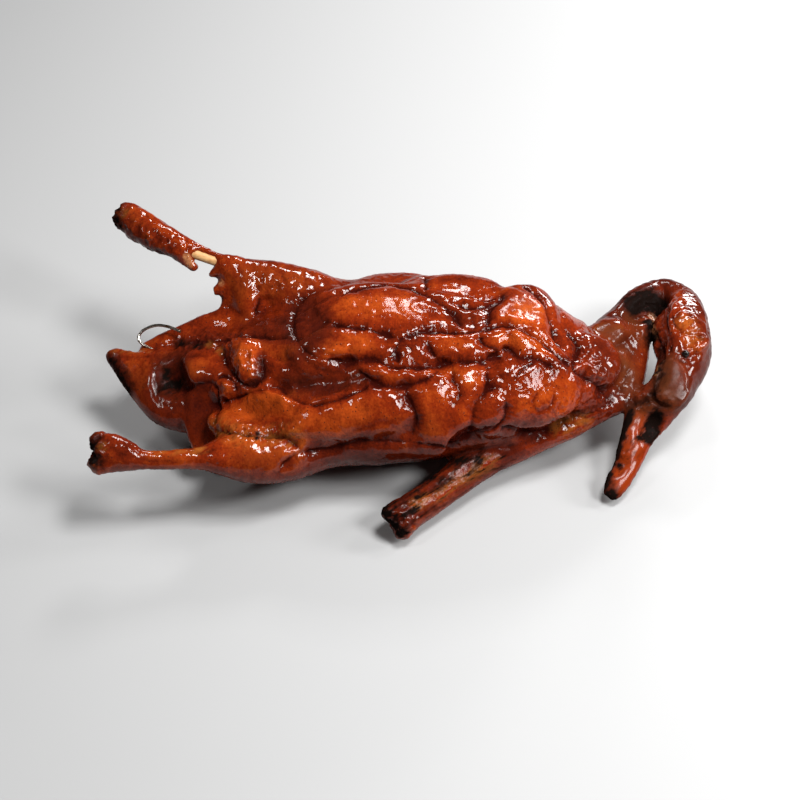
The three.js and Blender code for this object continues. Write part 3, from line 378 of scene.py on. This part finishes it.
class Limb:
    """The field of a limb: tapering oval sections along a smooth line through its stations."""

    def __init__(self, stations, up=(0, 0, 1), cap=1.0, cut_off=False, pieces=3):
        line = spline(stations, (len(stations) - 1) * pieces)
        self.start, self.end = line[:-1], line[1:]
        self.axis = self.end[:, :3] - self.start[:, :3]
        self.length = np.linalg.norm(self.axis, axis=1)
        self.axis /= self.length[:, None]
        self.across = unit(np.cross(self.axis, up))
        self.rise = np.cross(self.across, self.axis)
        self.cap, self.cut_off = cap, cut_off
        reach = line[:, 3:].max() + LIMB_MARGIN
        self.low, self.high = line[:, :3].min(0) - reach, line[:, :3].max(0) + reach

    def __call__(self, p):
        out = np.full(len(p), FAR)
        near = between(p, self.low, self.high)
        if len(near) == 0:
            return out
        q = p[near]
        best = np.full(len(q), FAR)
        for i in range(len(self.length)):
            offset = q - self.start[i, :3]
            along = offset @ self.axis[i]
            share = np.clip(along / self.length[i], 0, 1)
            width = self.start[i, 3] + (self.end[i, 3] - self.start[i, 3]) * share
            thickness = self.start[i, 4] + (self.end[i, 4] - self.start[i, 4]) * share
            tip = np.minimum(width, thickness) * self.cap
            a = offset @ self.across[i] / width
            b = offset @ self.rise[i] / thickness
            c = (along - share * self.length[i]) / tip
            reach = np.sqrt(a * a + b * b + c * c)
            slope = np.sqrt((a / width) ** 2 + (b / thickness) ** 2 + (c / tip) ** 2)
            best = np.minimum(best, (reach - 1) * reach / (slope + 1e-6))
        if self.cut_off:
            best = cut(best, (q - self.start[0, :3]) @ self.axis[0] + CUT_END, 4)
        out[near] = best
        return out


class Oval:
    """The field of an ellipsoid with any three half axes."""

    def __init__(self, middle, axes):
        self.middle = middle
        self.to_shares = np.linalg.inv(np.array(axes).T)
        reach = np.abs(np.array(axes)).sum(0) + OVAL_MARGIN
        self.low, self.high = middle - reach, middle + reach

    def __call__(self, p):
        out = np.full(len(p), FAR)
        near = between(p, self.low, self.high)
        shares = (p[near] - self.middle) @ self.to_shares.T
        reach = np.linalg.norm(shares, axis=1)
        slope = np.linalg.norm(shares @ self.to_shares, axis=1)
        out[near] = (reach - 1) * reach / (slope + 1e-6)
        return out


def slope_of(field, p, step=0.5):
    """The way that a field grows fastest at some points."""
    ways = np.array([(1, -1, -1), (-1, -1, 1), (-1, 1, -1), (1, 1, 1)], float)
    return sum(way * field(p + step * way)[:, None] for way in ways) / (4 * step)


def landings(field, places):
    """Where places on the sheet land on the skin, or where their lines pass closest to it."""
    places = np.asarray(places, float)
    on_sheet = SHEET_MIDDLE + (SHEET_HALF - places[:, 1:2]) * SHEET_UNIT * SHEET_UP
    on_sheet[:, 0] += (places[:, 0] - SHEET_HALF) * SHEET_UNIT
    ray = unit(on_sheet - VIEWPOINT)
    p = on_sheet - BEFORE_SHEET * ray
    best, best_at = np.full(len(p), np.inf), p.copy()
    live = np.arange(len(p))
    for _ in range(STEPS):
        distance = field(p[live])
        closer = distance < best[live]
        best[live[closer]] = distance[closer]
        best_at[live[closer]] = p[live[closer]]
        p[live] += ray[live] * np.clip(0.6 * distance, 0.3, 12)[:, None]
        live = live[(distance > 0.02) & (((p[live] - on_sheet[live]) * ray[live]).sum(1) < BEHIND_SHEET)]
        if len(live) == 0:
            break
    return best_at, ray


def ovals_on(field, table):
    """Ellipsoids that lie on the skin and show as the given ovals when seen from the viewpoint."""
    middles, rays = landings(field, [row[:2] for row in table])
    normals = unit(slope_of(field, middles))
    made = []
    for (_, _, length, width, turn, depth), middle, ray, normal in zip(table, middles, rays, normals):
        scale = SHEET_UNIT * np.linalg.norm(middle - VIEWPOINT) / VIEW_DISTANCE
        axes = []
        for degrees, amount in ((turn, length), (turn + 90, width)):
            angle = math.radians(degrees)
            flat = (np.array([math.cos(angle), 0, 0]) + math.sin(angle) * SHEET_UP) * amount * scale
            axes.append(flat + ray * (flat @ normal) / max(-(ray @ normal), 0.55))
        made.append(Oval(middle, [*axes, normal * depth]))
    return made


def lines_on(field, table):
    """Lines on the sheet, landed on the skin as (strength, reach, points)."""
    corners = [np.reshape(row[2:], (-1, 2)) for row in table]
    flat = [spline(line, (len(line) - 1) * 4) if len(line) > 1 else line.repeat(2, 0) for line in corners]
    landed, _ = landings(field, np.vstack(flat))
    made, at = [], 0
    for row, line in zip(table, flat):
        made.append((row[0], row[1], landed[at:at + len(line)]))
        at += len(line)
    return made


def along_line(p, line, reach):
    """Which points are near a line, how far each is from it and how far along it, and the line's length."""
    near = between(p, line.min(0) - reach, line.max(0) + reach)
    q, least, where, gone = p[near], np.full(len(near), FAR), np.zeros(len(near)), 0.0
    for a, b in zip(line[:-1], line[1:]):
        way = b - a
        length = np.linalg.norm(way)
        share = np.clip((q - a) @ way / max(length ** 2, 1e-6), 0, 1)
        away = np.linalg.norm(q - a - share[:, None] * way, axis=1)
        where = np.where(away < least, gone + share * length, where)
        least = np.minimum(away, least)
        gone += length
    return near, least, where, gone


def creased(p, lines, profile, sharpness=3.0):
    """The joined depth of creases at some points, with how far the nearest is, where along it, its number, and
    how strong it is there: each crease comes and goes along its length and fades at its ends."""
    total, nearest = np.zeros(len(p)), np.full(len(p), FAR)
    along, number, force = np.zeros((3, len(p)))
    for k, (depth, reach, line) in enumerate(lines):
        near, least, where, length = along_line(p, line, reach)
        fade = np.clip(np.minimum(where, length - where) / 6, 0.35, 1)
        fade *= 0.8 + 0.3 * np.sin(where / 3.7 + 2.1 * k) * np.sin(where / 6.1 + 5.3 * k)
        total[near] += (depth * fade * profile(np.minimum(least / reach, 1))) ** sharpness
        closer = least < nearest[near]
        nearest[near[closer]] = least[closer]
        along[near[closer]], number[near[closer]], force[near[closer]] = where[closer], k, fade[closer]
    return total ** (1 / sharpness), nearest, along, number, force


def strongest(p, lines):
    """The strongest of the lines' marks at some points. Each mark fades out with distance."""
    out = np.zeros(len(p))
    for strength, reach, line in lines:
        near, least, _, _ = along_line(p, line, reach)
        mark = strength * (1 - np.minimum(least / reach, 1) ** 2) ** 1.5
        out[near] = np.maximum(out[near], mark)
    return out


trunk = Limb([(TRUNK_START + along * TRUNK_LENGTH, y, z, width * TRUNK_WIDTH, height * TRUNK_HEIGHT)
              for along, y, z, width, height in TRUNK_SECTIONS], cap=0.5, pieces=2)
fleshy = [Limb(TAIL), Limb(TAIL_FAT_EDGE), Limb(TAIL_LOW_EDGE), Limb(NEAR_LEG, cut_off=True), Limb(NEAR_GROIN),
          Limb(FAR_THIGH)]
small = [*(Limb(knob) for knob in NEAR_KNOBS + SCRAPS), Limb(FAR_KNUCKLE, cut_off=True), Limb(FAR_TENDON),
         Limb(FAR_SKIN_ROLL), Limb(FAR_SKIN_WEB, up=OUTLOOK), Limb(VENT_RIM), Limb(VENT_FLAP, up=OUTLOOK),
         Limb(NEAR_WING, cut_off=True), Limb(FAR_WING, cut_off=True),
         Limb(NECK), Limb(THROAT_SKIN), Limb(HEAD, up=OUTLOOK), Limb(BILL, up=OUTLOOK)]


def bare(p):
    skin = trunk(p)
    for part in fleshy:
        skin = join(skin, part(p), FUSE)
    for part in small:
        skin = join(skin, part(p), FOLD)
    return skin


lobes = ovals_on(bare, LOBES.values())
hollows = ovals_on(bare, HOLLOWS.values())


def smooth(p):
    skin = bare(p)
    for lobe in lobes:
        skin = join(skin, lobe(p), LOBE)
    for hollow in hollows:
        skin = cut(skin, hollow(p), LOBE)
    return skin


def skin_over(field, low, high, cell):
    """Vertices and quads of a mesh drawn over where a field is zero."""
    # A grid with every fourth point shows where the skin is near, and only there are all the points worked out.
    counts = np.ceil((high - low) / cell / 4).astype(int) * 4 + 1
    axes = [low[i] + cell * np.arange(counts[i]) for i in range(3)]
    coarse = [axis[::4] for axis in axes]
    grid = np.stack(np.meshgrid(*coarse, indexing="ij"), -1).reshape(-1, 3)
    rough = field(grid).reshape([len(axis) for axis in coarse])
    values = rough.repeat(4, 0).repeat(4, 1).repeat(4, 2)
    values = np.roll(values, (-2, -2, -2), (0, 1, 2))[:counts[0], :counts[1], :counts[2]]
    near = np.abs(values) < 9 + 4 * cell
    at = np.argwhere(near)
    values = np.where(values < 0, -FAR, FAR)
    values[near] = field(low + at * cell)

    # Lets folds closer than a cell grow together, so that no edge is shared by four faces.
    for _ in range(8):
        grown = 0
        for u, v in ((0, 1), (1, 2), (2, 0)):
            def part(a, b):
                take = [slice(None)] * 3
                take[u] = slice(1, None) if a else slice(None, -1)
                take[v] = slice(1, None) if b else slice(None, -1)
                return tuple(take)
            a, b, c, d = (values[part(i, j)] < 0 for i, j in ((0, 0), (1, 0), (0, 1), (1, 1)))
            first = (a & d & ~b & ~c)
            second = (b & c & ~a & ~d)
            grown += first.sum() + second.sum()
            values[part(1, 0)][first] = -0.1 * cell
            values[part(0, 0)][second] = -0.1 * cell
        if grown == 0:
            break
    inside = values < 0

    corner = {(i, j, k): values[i:i + counts[0] - 1, j:j + counts[1] - 1, k:k + counts[2] - 1]
              for i in (0, 1) for j in (0, 1) for k in (0, 1)}
    signs = sum((value < 0).astype(int) for value in corner.values())
    cells = np.argwhere((signs > 0) & (signs < 8))
    index = np.full(signs.shape, -1)
    index[tuple(cells.T)] = np.arange(len(cells))
    held = {key: value[tuple(cells.T)] for key, value in corner.items()}
    total, crossings = np.zeros((len(cells), 3)), np.zeros(len(cells))
    for key, start in held.items():
        for axis in range(3):
            if key[axis]:
                continue
            other = tuple(1 if i == axis else key[i] for i in range(3))
            end = held[other]
            crossed = (start < 0) != (end < 0)
            share = np.where(crossed, start / np.where(crossed, start - end, 1), 0)
            place = np.array(key, float) + share[:, None] * np.eye(3)[axis]
            total += np.where(crossed[:, None], place, 0)
            crossings += crossed
    vertices = low + (cells + total / crossings[:, None]) * cell

    faces = []
    for axis in range(3):
        u, v = (axis + 1) % 3, (axis + 2) % 3
        first = inside[1:-1, 1:-1, 1:-1]
        shifted = [slice(1, -1)] * 3
        shifted[axis] = slice(2, None)
        second = inside[tuple(shifted)]
        for outward in (True, False):
            edges = np.argwhere(first & ~second if outward else ~first & second) + 1
            around = [(0, 0), (1, 0), (1, 1), (0, 1)] if outward else [(0, 1), (1, 1), (1, 0), (0, 0)]
            quad = []
            for s, t in around:
                cell_at = edges.copy()
                cell_at[:, u] -= s
                cell_at[:, v] -= t
                quad.append(index[tuple(cell_at.T)])
            faces.append(np.stack(quad, 1))
    return vertices, np.vstack(faces)


def settle(field, p, rounds, limit):
    """Moves points onto where a field is zero."""
    for _ in range(rounds):
        slope = slope_of(field, p)
        step = -field(p) / ((slope ** 2).sum(1) + 1e-3)
        p = p + slope * np.clip(step, -limit, limit)[:, None]
    return p


def mesh_of(name, vertices, faces):
    mesh = bpy.data.meshes.new(name)
    mesh.from_pydata(vertices.tolist(), [], faces.tolist())
    mesh.update()
    return mesh


def object_of(name, mesh):
    made = bpy.data.objects.new(name, mesh)
    bpy.context.scene.collection.objects.link(made)
    return made


def modified(made):
    """A new mesh with an object's modifiers applied."""
    return bpy.data.meshes.new_from_object(made.evaluated_get(bpy.context.evaluated_depsgraph_get()))


def coordinates(mesh):
    out = np.empty(len(mesh.vertices) * 3)
    mesh.vertices.foreach_get("co", out)
    return out.reshape(-1, 3)


def relax(p, edges, rounds, share):
    """Evens out a mesh: each point moves some way to the middle of its neighbours."""
    count = np.bincount(edges.ravel(), minlength=len(p))[:, None]
    for _ in range(rounds):
        total = np.zeros_like(p)
        np.add.at(total, edges[:, 0], p[edges[:, 1]])
        np.add.at(total, edges[:, 1], p[edges[:, 0]])
        p = p + share * (total / np.maximum(count, 1) - p)
    return p


def edges_of(mesh):
    out = np.empty(len(mesh.edges) * 2, dtype=int)
    mesh.edges.foreach_get("vertices", out)
    return out.reshape(-1, 2)


def noise_at(p, size, kind="plain", seed=0):
    """Noise with features about the given size in millimetres. The other kind is "ridges"."""
    out = np.array([noise.noise(v) for v in (p / size + seed).tolist()])
    return 1 - 2 * np.abs(out) if kind == "ridges" else out


def shake(p, size, seed):
    """Small moves of some points, one noise for each axis."""
    return np.stack([noise_at(p, size, seed=k * seed) for k in range(3)], 1)


class Nodes:
    """A short way to write a material's nodes."""

    def __init__(self, name):
        self.material = bpy.data.materials.new(name)
        self.material.use_nodes = True
        self.tree = self.material.node_tree
        self.shader = self.tree.nodes["Principled BSDF"]

    def put(self, socket, value):
        if isinstance(value, bpy.types.NodeSocket):
            self.tree.links.new(value, socket)
        else:
            socket.default_value = value

    def add(self, kind, out=0, settings=None, **inputs):
        node = self.tree.nodes.new(kind)
        for key, value in (settings or {}).items():
            setattr(node, key, value)
        for key, value in inputs.items():
            self.put(node.inputs[key.replace("_", " ")], value)
        return node.outputs[out]

    def attribute(self, name):
        return self.add("ShaderNodeAttribute", "Fac", {"attribute_name": name})

    def maths(self, operation, *values):
        node = self.tree.nodes.new("ShaderNodeMath")
        node.operation = operation
        for socket, value in zip(node.inputs, values):
            self.put(socket, value)
        return node.outputs[0]

    def plus(self, a, b):
        return self.maths("ADD", a, b)

    def times(self, a, b):
        return self.maths("MULTIPLY", a, b)

    def span(self, value, low, high, to_low=0.0, to_high=1.0):
        node = self.tree.nodes.new("ShaderNodeMapRange")
        keys = ("Value", "From Min", "From Max", "To Min", "To Max")
        for key, item in zip(keys, (value, low, high, to_low, to_high)):
            self.put(node.inputs[key], item)
        return node.outputs[0]

    def mix(self, share, a, b, blend="MIX"):
        node = self.tree.nodes.new("ShaderNodeMix")
        node.data_type, node.blend_type = "RGBA", blend
        self.put(node.inputs[0], share)
        for socket, value in ((node.inputs[6], a), (node.inputs[7], b)):
            self.put(socket, (*value, 1) if isinstance(value, tuple) and len(value) == 3 else value)
        return node.outputs[2]

    def noise(self, place, size_mm, detail=3.0, rough=0.55):
        return self.add("ShaderNodeTexNoise", "Fac", Vector=place, Scale=1000 / size_mm, Detail=detail,
                        Roughness=rough)

    def finish(self, **inputs):
        for key, value in inputs.items():
            self.put(self.shader.inputs[key.replace("_", " ")], value)
        return self.material


# Camera, floor and light. The shift is how far the part has moved from the modelling frame, in metres.

shift = (np.array(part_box("shin_bone")[0]) + np.array(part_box("shin_bone")[1])) / 2 - np.mean(BONE, axis=0) / 1000
shift[2] = 0
LENS, SENSOR, TILT = 78, 36, math.radians(45)
FLOOR_HALF, FLOOR_HEIGHT = 6, -0.0002

camera_data = bpy.data.cameras.new("camera")
camera_data.lens, camera_data.sensor_width = LENS, SENSOR
camera = object_of("camera", camera_data)
camera.location = Vector(shift) + Vector(VIEWPOINT / 1000)
camera.rotation_euler = (TILT, 0, 0)
bpy.context.scene.camera = camera
bpy.context.scene.view_settings.view_transform = "Standard"

floor_corners = FLOOR_HALF * np.array([(-1, -1, 0), (1, -1, 0), (1, 1, 0), (-1, 1, 0)], float)
floor = object_of("floor", mesh_of("floor", floor_corners, np.array([(0, 1, 2, 3)])))
floor.data.materials.append(Nodes("floor").finish(Base_Color=(0.34, 0.34, 0.34, 1), Roughness=0.6))
floor.location.z = FLOOR_HEIGHT


def softbox(name, place, target, width, height, power):
    data = bpy.data.lights.new(name, "AREA")
    data.shape, data.size, data.size_y, data.energy = "RECTANGLE", width, height, power
    light = object_of(name, data)
    light.location = place
    light.rotation_euler = (Vector(target) - Vector(place)).to_track_quat("-Z", "Y").to_euler()


softbox("overhead", (0.3, -0.05, 1.15), (0.03, 0, 0.03), 0.36, 0.28, 14.5)
softbox("rear", (0.08, 0.88, 0.68), (0, 0, 0.04), 0.2, 0.18, 4.3)
softbox("rear_right", (0.5, 1, 0.36), (0.08, 0, 0.04), 0.24, 0.18, 6)
softbox("right", (0.7, -0.42, 0.86), (0.08, -0.02, 0.06), 0.36, 0.3, 12)
softbox("front_right", (0.73, 0.31, 0.73), (0.11, 0, 0.06), 0.18, 0.14, 2.2)
softbox("end", (1, 0.05, 0.48), (0.13, 0, 0.06), 0.26, 0.22, 6.5)
softbox("left", (-0.55, -0.2, 1), (0, 0, 0.03), 0.16, 0.16, 2.4)
world = bpy.data.worlds.new("world")
bpy.context.scene.world = world
world.use_nodes = True
sky = world.node_tree.nodes["Background"].inputs
sky["Color"].default_value, sky["Strength"].default_value = (1, 1, 1, 1), 0.04

# The duck's skin.

vertices, faces = skin_over(smooth, LOWEST, HIGHEST, CELL)
draft = mesh_of("draft", vertices, faces)
vertices = settle(smooth, relax(vertices, edges_of(draft), 2, 0.5), 2, 1.0)
draft = mesh_of("draft", vertices, faces)
draft_object = object_of("draft", draft)
draft_object.modifiers.new("finer", "SUBSURF").levels = 1
finer = modified(draft_object)
finer.vertices.foreach_set("co", settle(smooth, coordinates(finer), 1, 1.0).ravel())
draft_object.data = finer
finer = modified(draft_object)
bpy.data.objects.remove(draft_object)

p = coordinates(finer)
normal = unit(slope_of(smooth, p))

creases = lines_on(smooth, [(depth * CREASE_DEPTH, reach * CREASE_REACH, *line)
                            for depth, reach, *line in CREASES.values()])
wrinkles = lines_on(smooth, [(depth, reach + WRINKLE_REACH, *line) for depth, reach, *line in WRINKLES])
wobble = 0.8 * shake(p, 10, 3.3) + 0.25 * shake(p, 3, 4.7)
groove, away, along, number, force = creased(p + wobble, creases, lambda share: (1 - share) ** 2.1)
line, line_away, _, _, line_force = creased(p + wobble, wrinkles, lambda share: (1 - share) ** 2)
calm = strongest(p, lines_on(smooth, CALM))
crumpled = strongest(p, lines_on(smooth, CRUMPLED))
pucker_place = np.stack([along / 2.2, number * 9.7, away / 9], 1)
pucker = 0.45 * noise_at(pucker_place, 1, "ridges") * np.exp(-away / 5) * np.clip(away / 1.2, 0, 1)
lump = 0.7 * noise_at(p, 17) + 0.3 * noise_at(p, 5.5, "ridges", 7.3)
skewed = p + 1.2 * shake(p, 6, 5.1)
creased_skin = noise_at(skewed * (1, 0.45, 1), 2.1, "ridges", 3.7) ** 3
crumple = 0.12 * creased_skin * (1 - calm)
crumple += crumpled * (1.1 * noise_at(p, 4.2, "ridges", 1.9) + 0.4 * creased_skin)
lumpy = strongest(p, lines_on(smooth, LUMPY) + HIDDEN["lumpy"])
crumple += 1.7 * lumpy * noise_at(skewed * (1, 0.7, 1), 6.5, "ridges", 12.4)
wrinkled = strongest(p, lines_on(smooth, WRINKLED))
crumple += 0.55 * wrinkled * (noise_at(skewed * (0.3, 1, 1), 3.2, "ridges", 8.1) - 0.4)
eye = np.linalg.norm(p - landings(smooth, [EYE])[0][0], axis=1)
crumple += 1.2 * np.sqrt(np.maximum(1 - (eye / EYE_RADIUS) ** 2, 0)) - 0.6 * np.exp(-((eye - 2.9) / 0.7) ** 2)

# The side that the photo hides has folds drawn by noise.
hidden = np.clip((0.1 - normal @ OUTLOOK) / 0.35, 0, 1)
turned = np.flatnonzero(hidden > 0)
bends = p[turned] + 4 * shake(p[turned], 15, 6.1)
for size, seed in ((34, 2.6), (21, 7.4)):
    off_fold = (1 - noise_at(bends * (0.4, 1, 1), size, "ridges", seed)) / 2
    folded = np.clip(0.4 + 2.5 * noise_at(p[turned], 30, seed=seed + 9), 0, 1)
    folded *= np.clip(1 - off_fold / 0.2, 0, 1) ** 2.2
    groove[turned] = np.maximum(groove[turned], size / 15 * hidden[turned] * folded)
slit = 0.6 * force * np.exp(-away / 0.9)
p = p + normal * (lump * (1 - 0.6 * calm) + pucker * (1 - calm) + crumple - groove - line - slit)[:, None]
p[:, 2] = np.maximum(p[:, 2], 0)

cavity = ((p - relax(p, edges_of(finer), 14, 0.6)) * normal).sum(1)
finer.vertices.foreach_set("co", (p / 1000 + shift).ravel())


def store(name, values):
    layer = finer.attributes.new(name, "FLOAT", "POINT")
    layer.data.foreach_set("value", np.asarray(values, np.float32))


# fold and cavity also set painted shade and light in the skin's colour: darker in grooves and dips, lighter on
# bulges.
store("fold", np.clip(groove / 3.5, 0, 1))
# The crease mark is painted shade: the colour darkens along crease and wrinkle lines.
fine_line = 0.7 * line_force * np.exp(-line_away / 0.5)
store("crease", np.clip(np.maximum(force * np.exp(-away / 0.7), fine_line), 0, 1))
store("cavity", np.clip(cavity / 1.2, -1, 1))
store("calm", calm)
store("wet", np.where(eye < EYE_RADIUS + 0.1, 0.9, 0))
TINTS = {"char_and_shade": CHAR_AND_SHADE, "plum": PLUM, "amber": AMBER, "ochre": OCHRE, "bill": BILL_RED, "torn": TORN,
         "olive": OLIVE, "dry": DRY, "streaked": STREAKED}
for name, zones in TINTS.items():
    mark = strongest(p, lines_on(smooth, zones) + HIDDEN.get(name, []))
    store(name, np.where(eye < EYE_RADIUS - 0.1, 1.5, mark) if name == "char_and_shade" else mark)
duck = object_of("roast_duck", finer)
if len(finer.polygons) * 2 > SKIN_TRIANGLES:
    duck.modifiers.new("fewer", "DECIMATE").ratio = SKIN_TRIANGLES / (2 * len(finer.polygons))
    duck.data = modified(duck)
    duck.modifiers.clear()
duck.data.name = "roast_duck"
duck.data.shade_smooth()


def skin_material():
    n = Nodes("roast_skin")
    place = n.add("ShaderNodeTexCoord", "Object")
    broad, middling, fine = n.noise(place, 30), n.noise(place, 8), n.noise(place, 1.5, 4.0, 0.6)
    crease, fold, cavity, calm, wet, char_and_shade, plum, amber, ochre, bill, torn, olive, dry, streaked = (
        n.attribute(name) for name in ("crease", "fold", "cavity", "calm", "wet", *TINTS))
    along_wing = n.add("ShaderNodeMapping", 0, {"vector_type": "TEXTURE"}, Vector=place, Rotation=(0, 0, 0.7),
                       Scale=(6, 1, 1))
    streak = n.noise(along_wing, 3.2)

    tone = n.plus(n.span(broad, 0.3, 0.7, -0.2, 0.16), n.span(middling, 0.3, 0.7, -0.18, 0.15))
    tone = n.plus(tone, n.span(fine, 0.3, 0.7, -0.16, 0.14))
    # Painted light and shade: where the skin bulges (cavity) it is drawn lighter, and in dips and grooves (fold)
    # darker, on top of the amber tint and the random tone.
    warmth_and_shade = n.plus(n.times(amber, 0.4), n.times(cavity, 0.42))
    warmth_and_shade = n.plus(n.plus(warmth_and_shade, tone), 0.42)
    warmth_and_shade = n.maths("SUBTRACT", warmth_and_shade, n.times(fold, 0.6))
    # Near-black from the char-and-shade marks: burnt skin, and painted shade in holes and valleys; noise and
    # streaks break it up.
    burn_and_shade = n.plus(char_and_shade, n.span(n.plus(middling, n.times(streak, 0.5)), 0.5, 1, -0.3, 0.3))
    burn_and_shade = n.plus(burn_and_shade, n.times(streaked, n.span(streak, 0.35, 0.65, -0.35, 0.35)))
    pores = n.add("ShaderNodeTexVoronoi", "Distance", Vector=place, Scale=1000 / 2.7, Randomness=0.8)
    pore = n.times(n.span(pores, 0.1, 0.2, 1, 0), n.span(middling, 0.35, 0.55, 0.2, 1))
    colour = (0.03, 0.0028, 0.0016)
    for share, layer in (
            (n.span(warmth_and_shade, 0, 0.5), (0.145, 0.0135, 0.0022)),
            (n.span(warmth_and_shade, 0.5, 1), (0.3, 0.044, 0.005)),
            (n.times(n.span(ochre, 0.1, 0.9, 0, 0.85), n.span(streak, 0.38, 0.58)), (0.27, 0.085, 0.014)),
            (n.times(plum, n.span(ochre, 0, 0.8, 0.75, 0.15)), (0.032, 0.0042, 0.0022)),
            (n.span(bill, 0.1, 0.6), (0.17, 0.02, 0.003)),
            (n.times(n.span(olive, 0, 1), n.span(middling, 0.3, 0.65, 0.5, 1)), (0.055, 0.018, 0.006)),
            (n.times(n.span(torn, 0.1, 0.6), n.span(fine, 0.4, 0.6, 0.3, 0.95)), (0.36, 0.15, 0.06)),
            # near-black burnt skin, and painted shade in holes and valleys
            (n.span(burn_and_shade, 0.35, 0.95), (0.005, 0.0026, 0.002)),
            # painted shade along the crease lines
            (n.times(crease, 0.7), (0.02, 0.003, 0.0015)),
            (n.times(pore, 0.85), (0.025, 0.006, 0.006))):
        colour = n.mix(share, colour, layer)

    lined = n.add("ShaderNodeMapping", Vector=place, Rotation=(0.2, 0, 0.5), Scale=(1, 0.3, 0.6))
    cells = n.add("ShaderNodeTexVoronoi", "Distance", {"feature": "DISTANCE_TO_EDGE"}, Vector=lined,
                  Scale=1000 / 2.0)
    relief = n.plus(n.times(fine, 0.5), n.times(n.noise(place, 3.6), 0.5))
    relief = n.plus(relief, n.span(cells, 0, 0.2, 0, 0.2))
    relief = n.maths("SUBTRACT", relief, n.times(pore, 0.12))
    relief = n.times(relief, n.span(calm, 0, 1, 1, 0.25))
    bump = n.add("ShaderNodeBump", "Normal", Strength=0.7, Distance=0.0005, Height=relief)
    sheen = n.add("ShaderNodeBump", "Normal", Strength=0.2, Distance=0.0005, Height=relief)
    rough = n.plus(n.span(middling, 0.3, 0.7, 0.26, 0.42), n.times(char_and_shade, 0.25))
    coat = n.plus(n.span(cavity, -0.5, 0.4, 0.05, 0.8), n.span(broad, 0.35, 0.65, -0.1, 0.15))
    coat = n.times(coat, n.span(fold, 0.15, 0.8, 1, 0.4))
    coat = n.times(coat, n.span(dry, 0, 1, 1, 0.2))
    coat = n.times(coat, n.span(burn_and_shade, 0.35, 0.9, 1, 0.04))
    coat = n.maths("MAXIMUM", n.times(n.maths("MINIMUM", coat, 0.8), 0.95), wet)
    dull = n.span(n.maths("SUBTRACT", n.maths("MAXIMUM", dry, char_and_shade), wet), 0.15, 0.9, 0.04, 0.32)
    return n.finish(Base_Color=colour, Roughness=rough, Normal=bump, Coat_Weight=coat, Coat_Roughness=dull,
                    Coat_Normal=sheen, Specular_IOR_Level=0.0)


duck.data.materials.append(skin_material())
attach(duck, "root")
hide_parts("duck")


# The bone and the pin.

def tube(name, line, radii, sides):
    """A closed tube along a line."""
    ways = unit(np.gradient(line, axis=0))
    across = np.cross(ways[0], (0.3, 0.2, 0.9))
    rings = []
    for place, way, radius in zip(line, ways, radii):
        across = across - way * (across @ way)
        across /= np.linalg.norm(across)
        other = np.cross(way, across)
        angles = np.linspace(0, 2 * math.pi, sides, endpoint=False)[:, None]
        rings.append(place + radius * (np.cos(angles) * across + np.sin(angles) * other))
    points = np.vstack([*rings, line[:1], line[-1:]])
    at = np.arange(len(rings) * sides).reshape(-1, sides)
    after = np.roll(at, -1, 1)
    faces = np.stack([at[:-1], after[:-1], after[1:], at[1:]], -1).reshape(-1, 4).tolist()
    faces += [(at.size, b, a) for a, b in zip(at[0].tolist(), after[0].tolist())]
    faces += [(at.size + 1, a, b) for a, b in zip(at[-1].tolist(), after[-1].tolist())]
    mesh = bpy.data.meshes.new(name)
    mesh.from_pydata((points / 1000 + shift).tolist(), [], faces)
    for polygon in mesh.polygons:
        polygon.use_smooth = len(polygon.vertices) == 4
    return object_of(name, mesh)


def bone_material():
    n = Nodes("bare_bone")
    place = n.add("ShaderNodeTexCoord", "Object")
    stain = n.noise(place, 5, 4.0)
    streak = n.add("ShaderNodeMapping", Vector=place, Rotation=(0, 0, 0.27), Scale=(0.12, 1, 1))
    grain = n.noise(streak, 0.9, 2.0)
    colour = n.mix(n.span(stain, 0.35, 0.7), (0.62, 0.36, 0.15), (0.36, 0.15, 0.045))
    colour = n.mix(n.span(grain, 0.55, 0.75, 0, 0.5), colour, (0.28, 0.11, 0.04))
    bump = n.add("ShaderNodeBump", "Normal", Strength=0.4, Distance=0.0002, Height=grain)
    return n.finish(Base_Color=colour, Roughness=0.42, Normal=bump, Coat_Weight=0.25, Coat_Roughness=0.2)


def pin_material():
    n = Nodes("pin_wire")
    place = n.add("ShaderNodeTexCoord", "Object")
    stain = n.noise(place, 4)
    colour = n.mix(n.span(stain, 0.4, 0.62), (0.55, 0.52, 0.47), (0.12, 0.06, 0.03))
    return n.finish(Base_Color=colour, Metallic=1, Roughness=n.span(stain, 0.3, 0.7, 0.18, 0.42))


girth = np.interp(np.linspace(0, 1, BONE_RINGS), *zip(*BONE_GIRTH))
bone = tube("bare_shin_bone", np.linspace(*BONE, BONE_RINGS), girth * BONE_RADIUS, 32)
bone.data.materials.append(bone_material())
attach(bone, "root")
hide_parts("shin_bone")

pin = tube("bent_wire_pin", spline(PIN_LINE, PIN_RINGS - 1), np.full(PIN_RINGS, PIN_RADIUS), 16)
pin.data.materials.append(pin_material())
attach(pin, "root")
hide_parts("vent_pin")
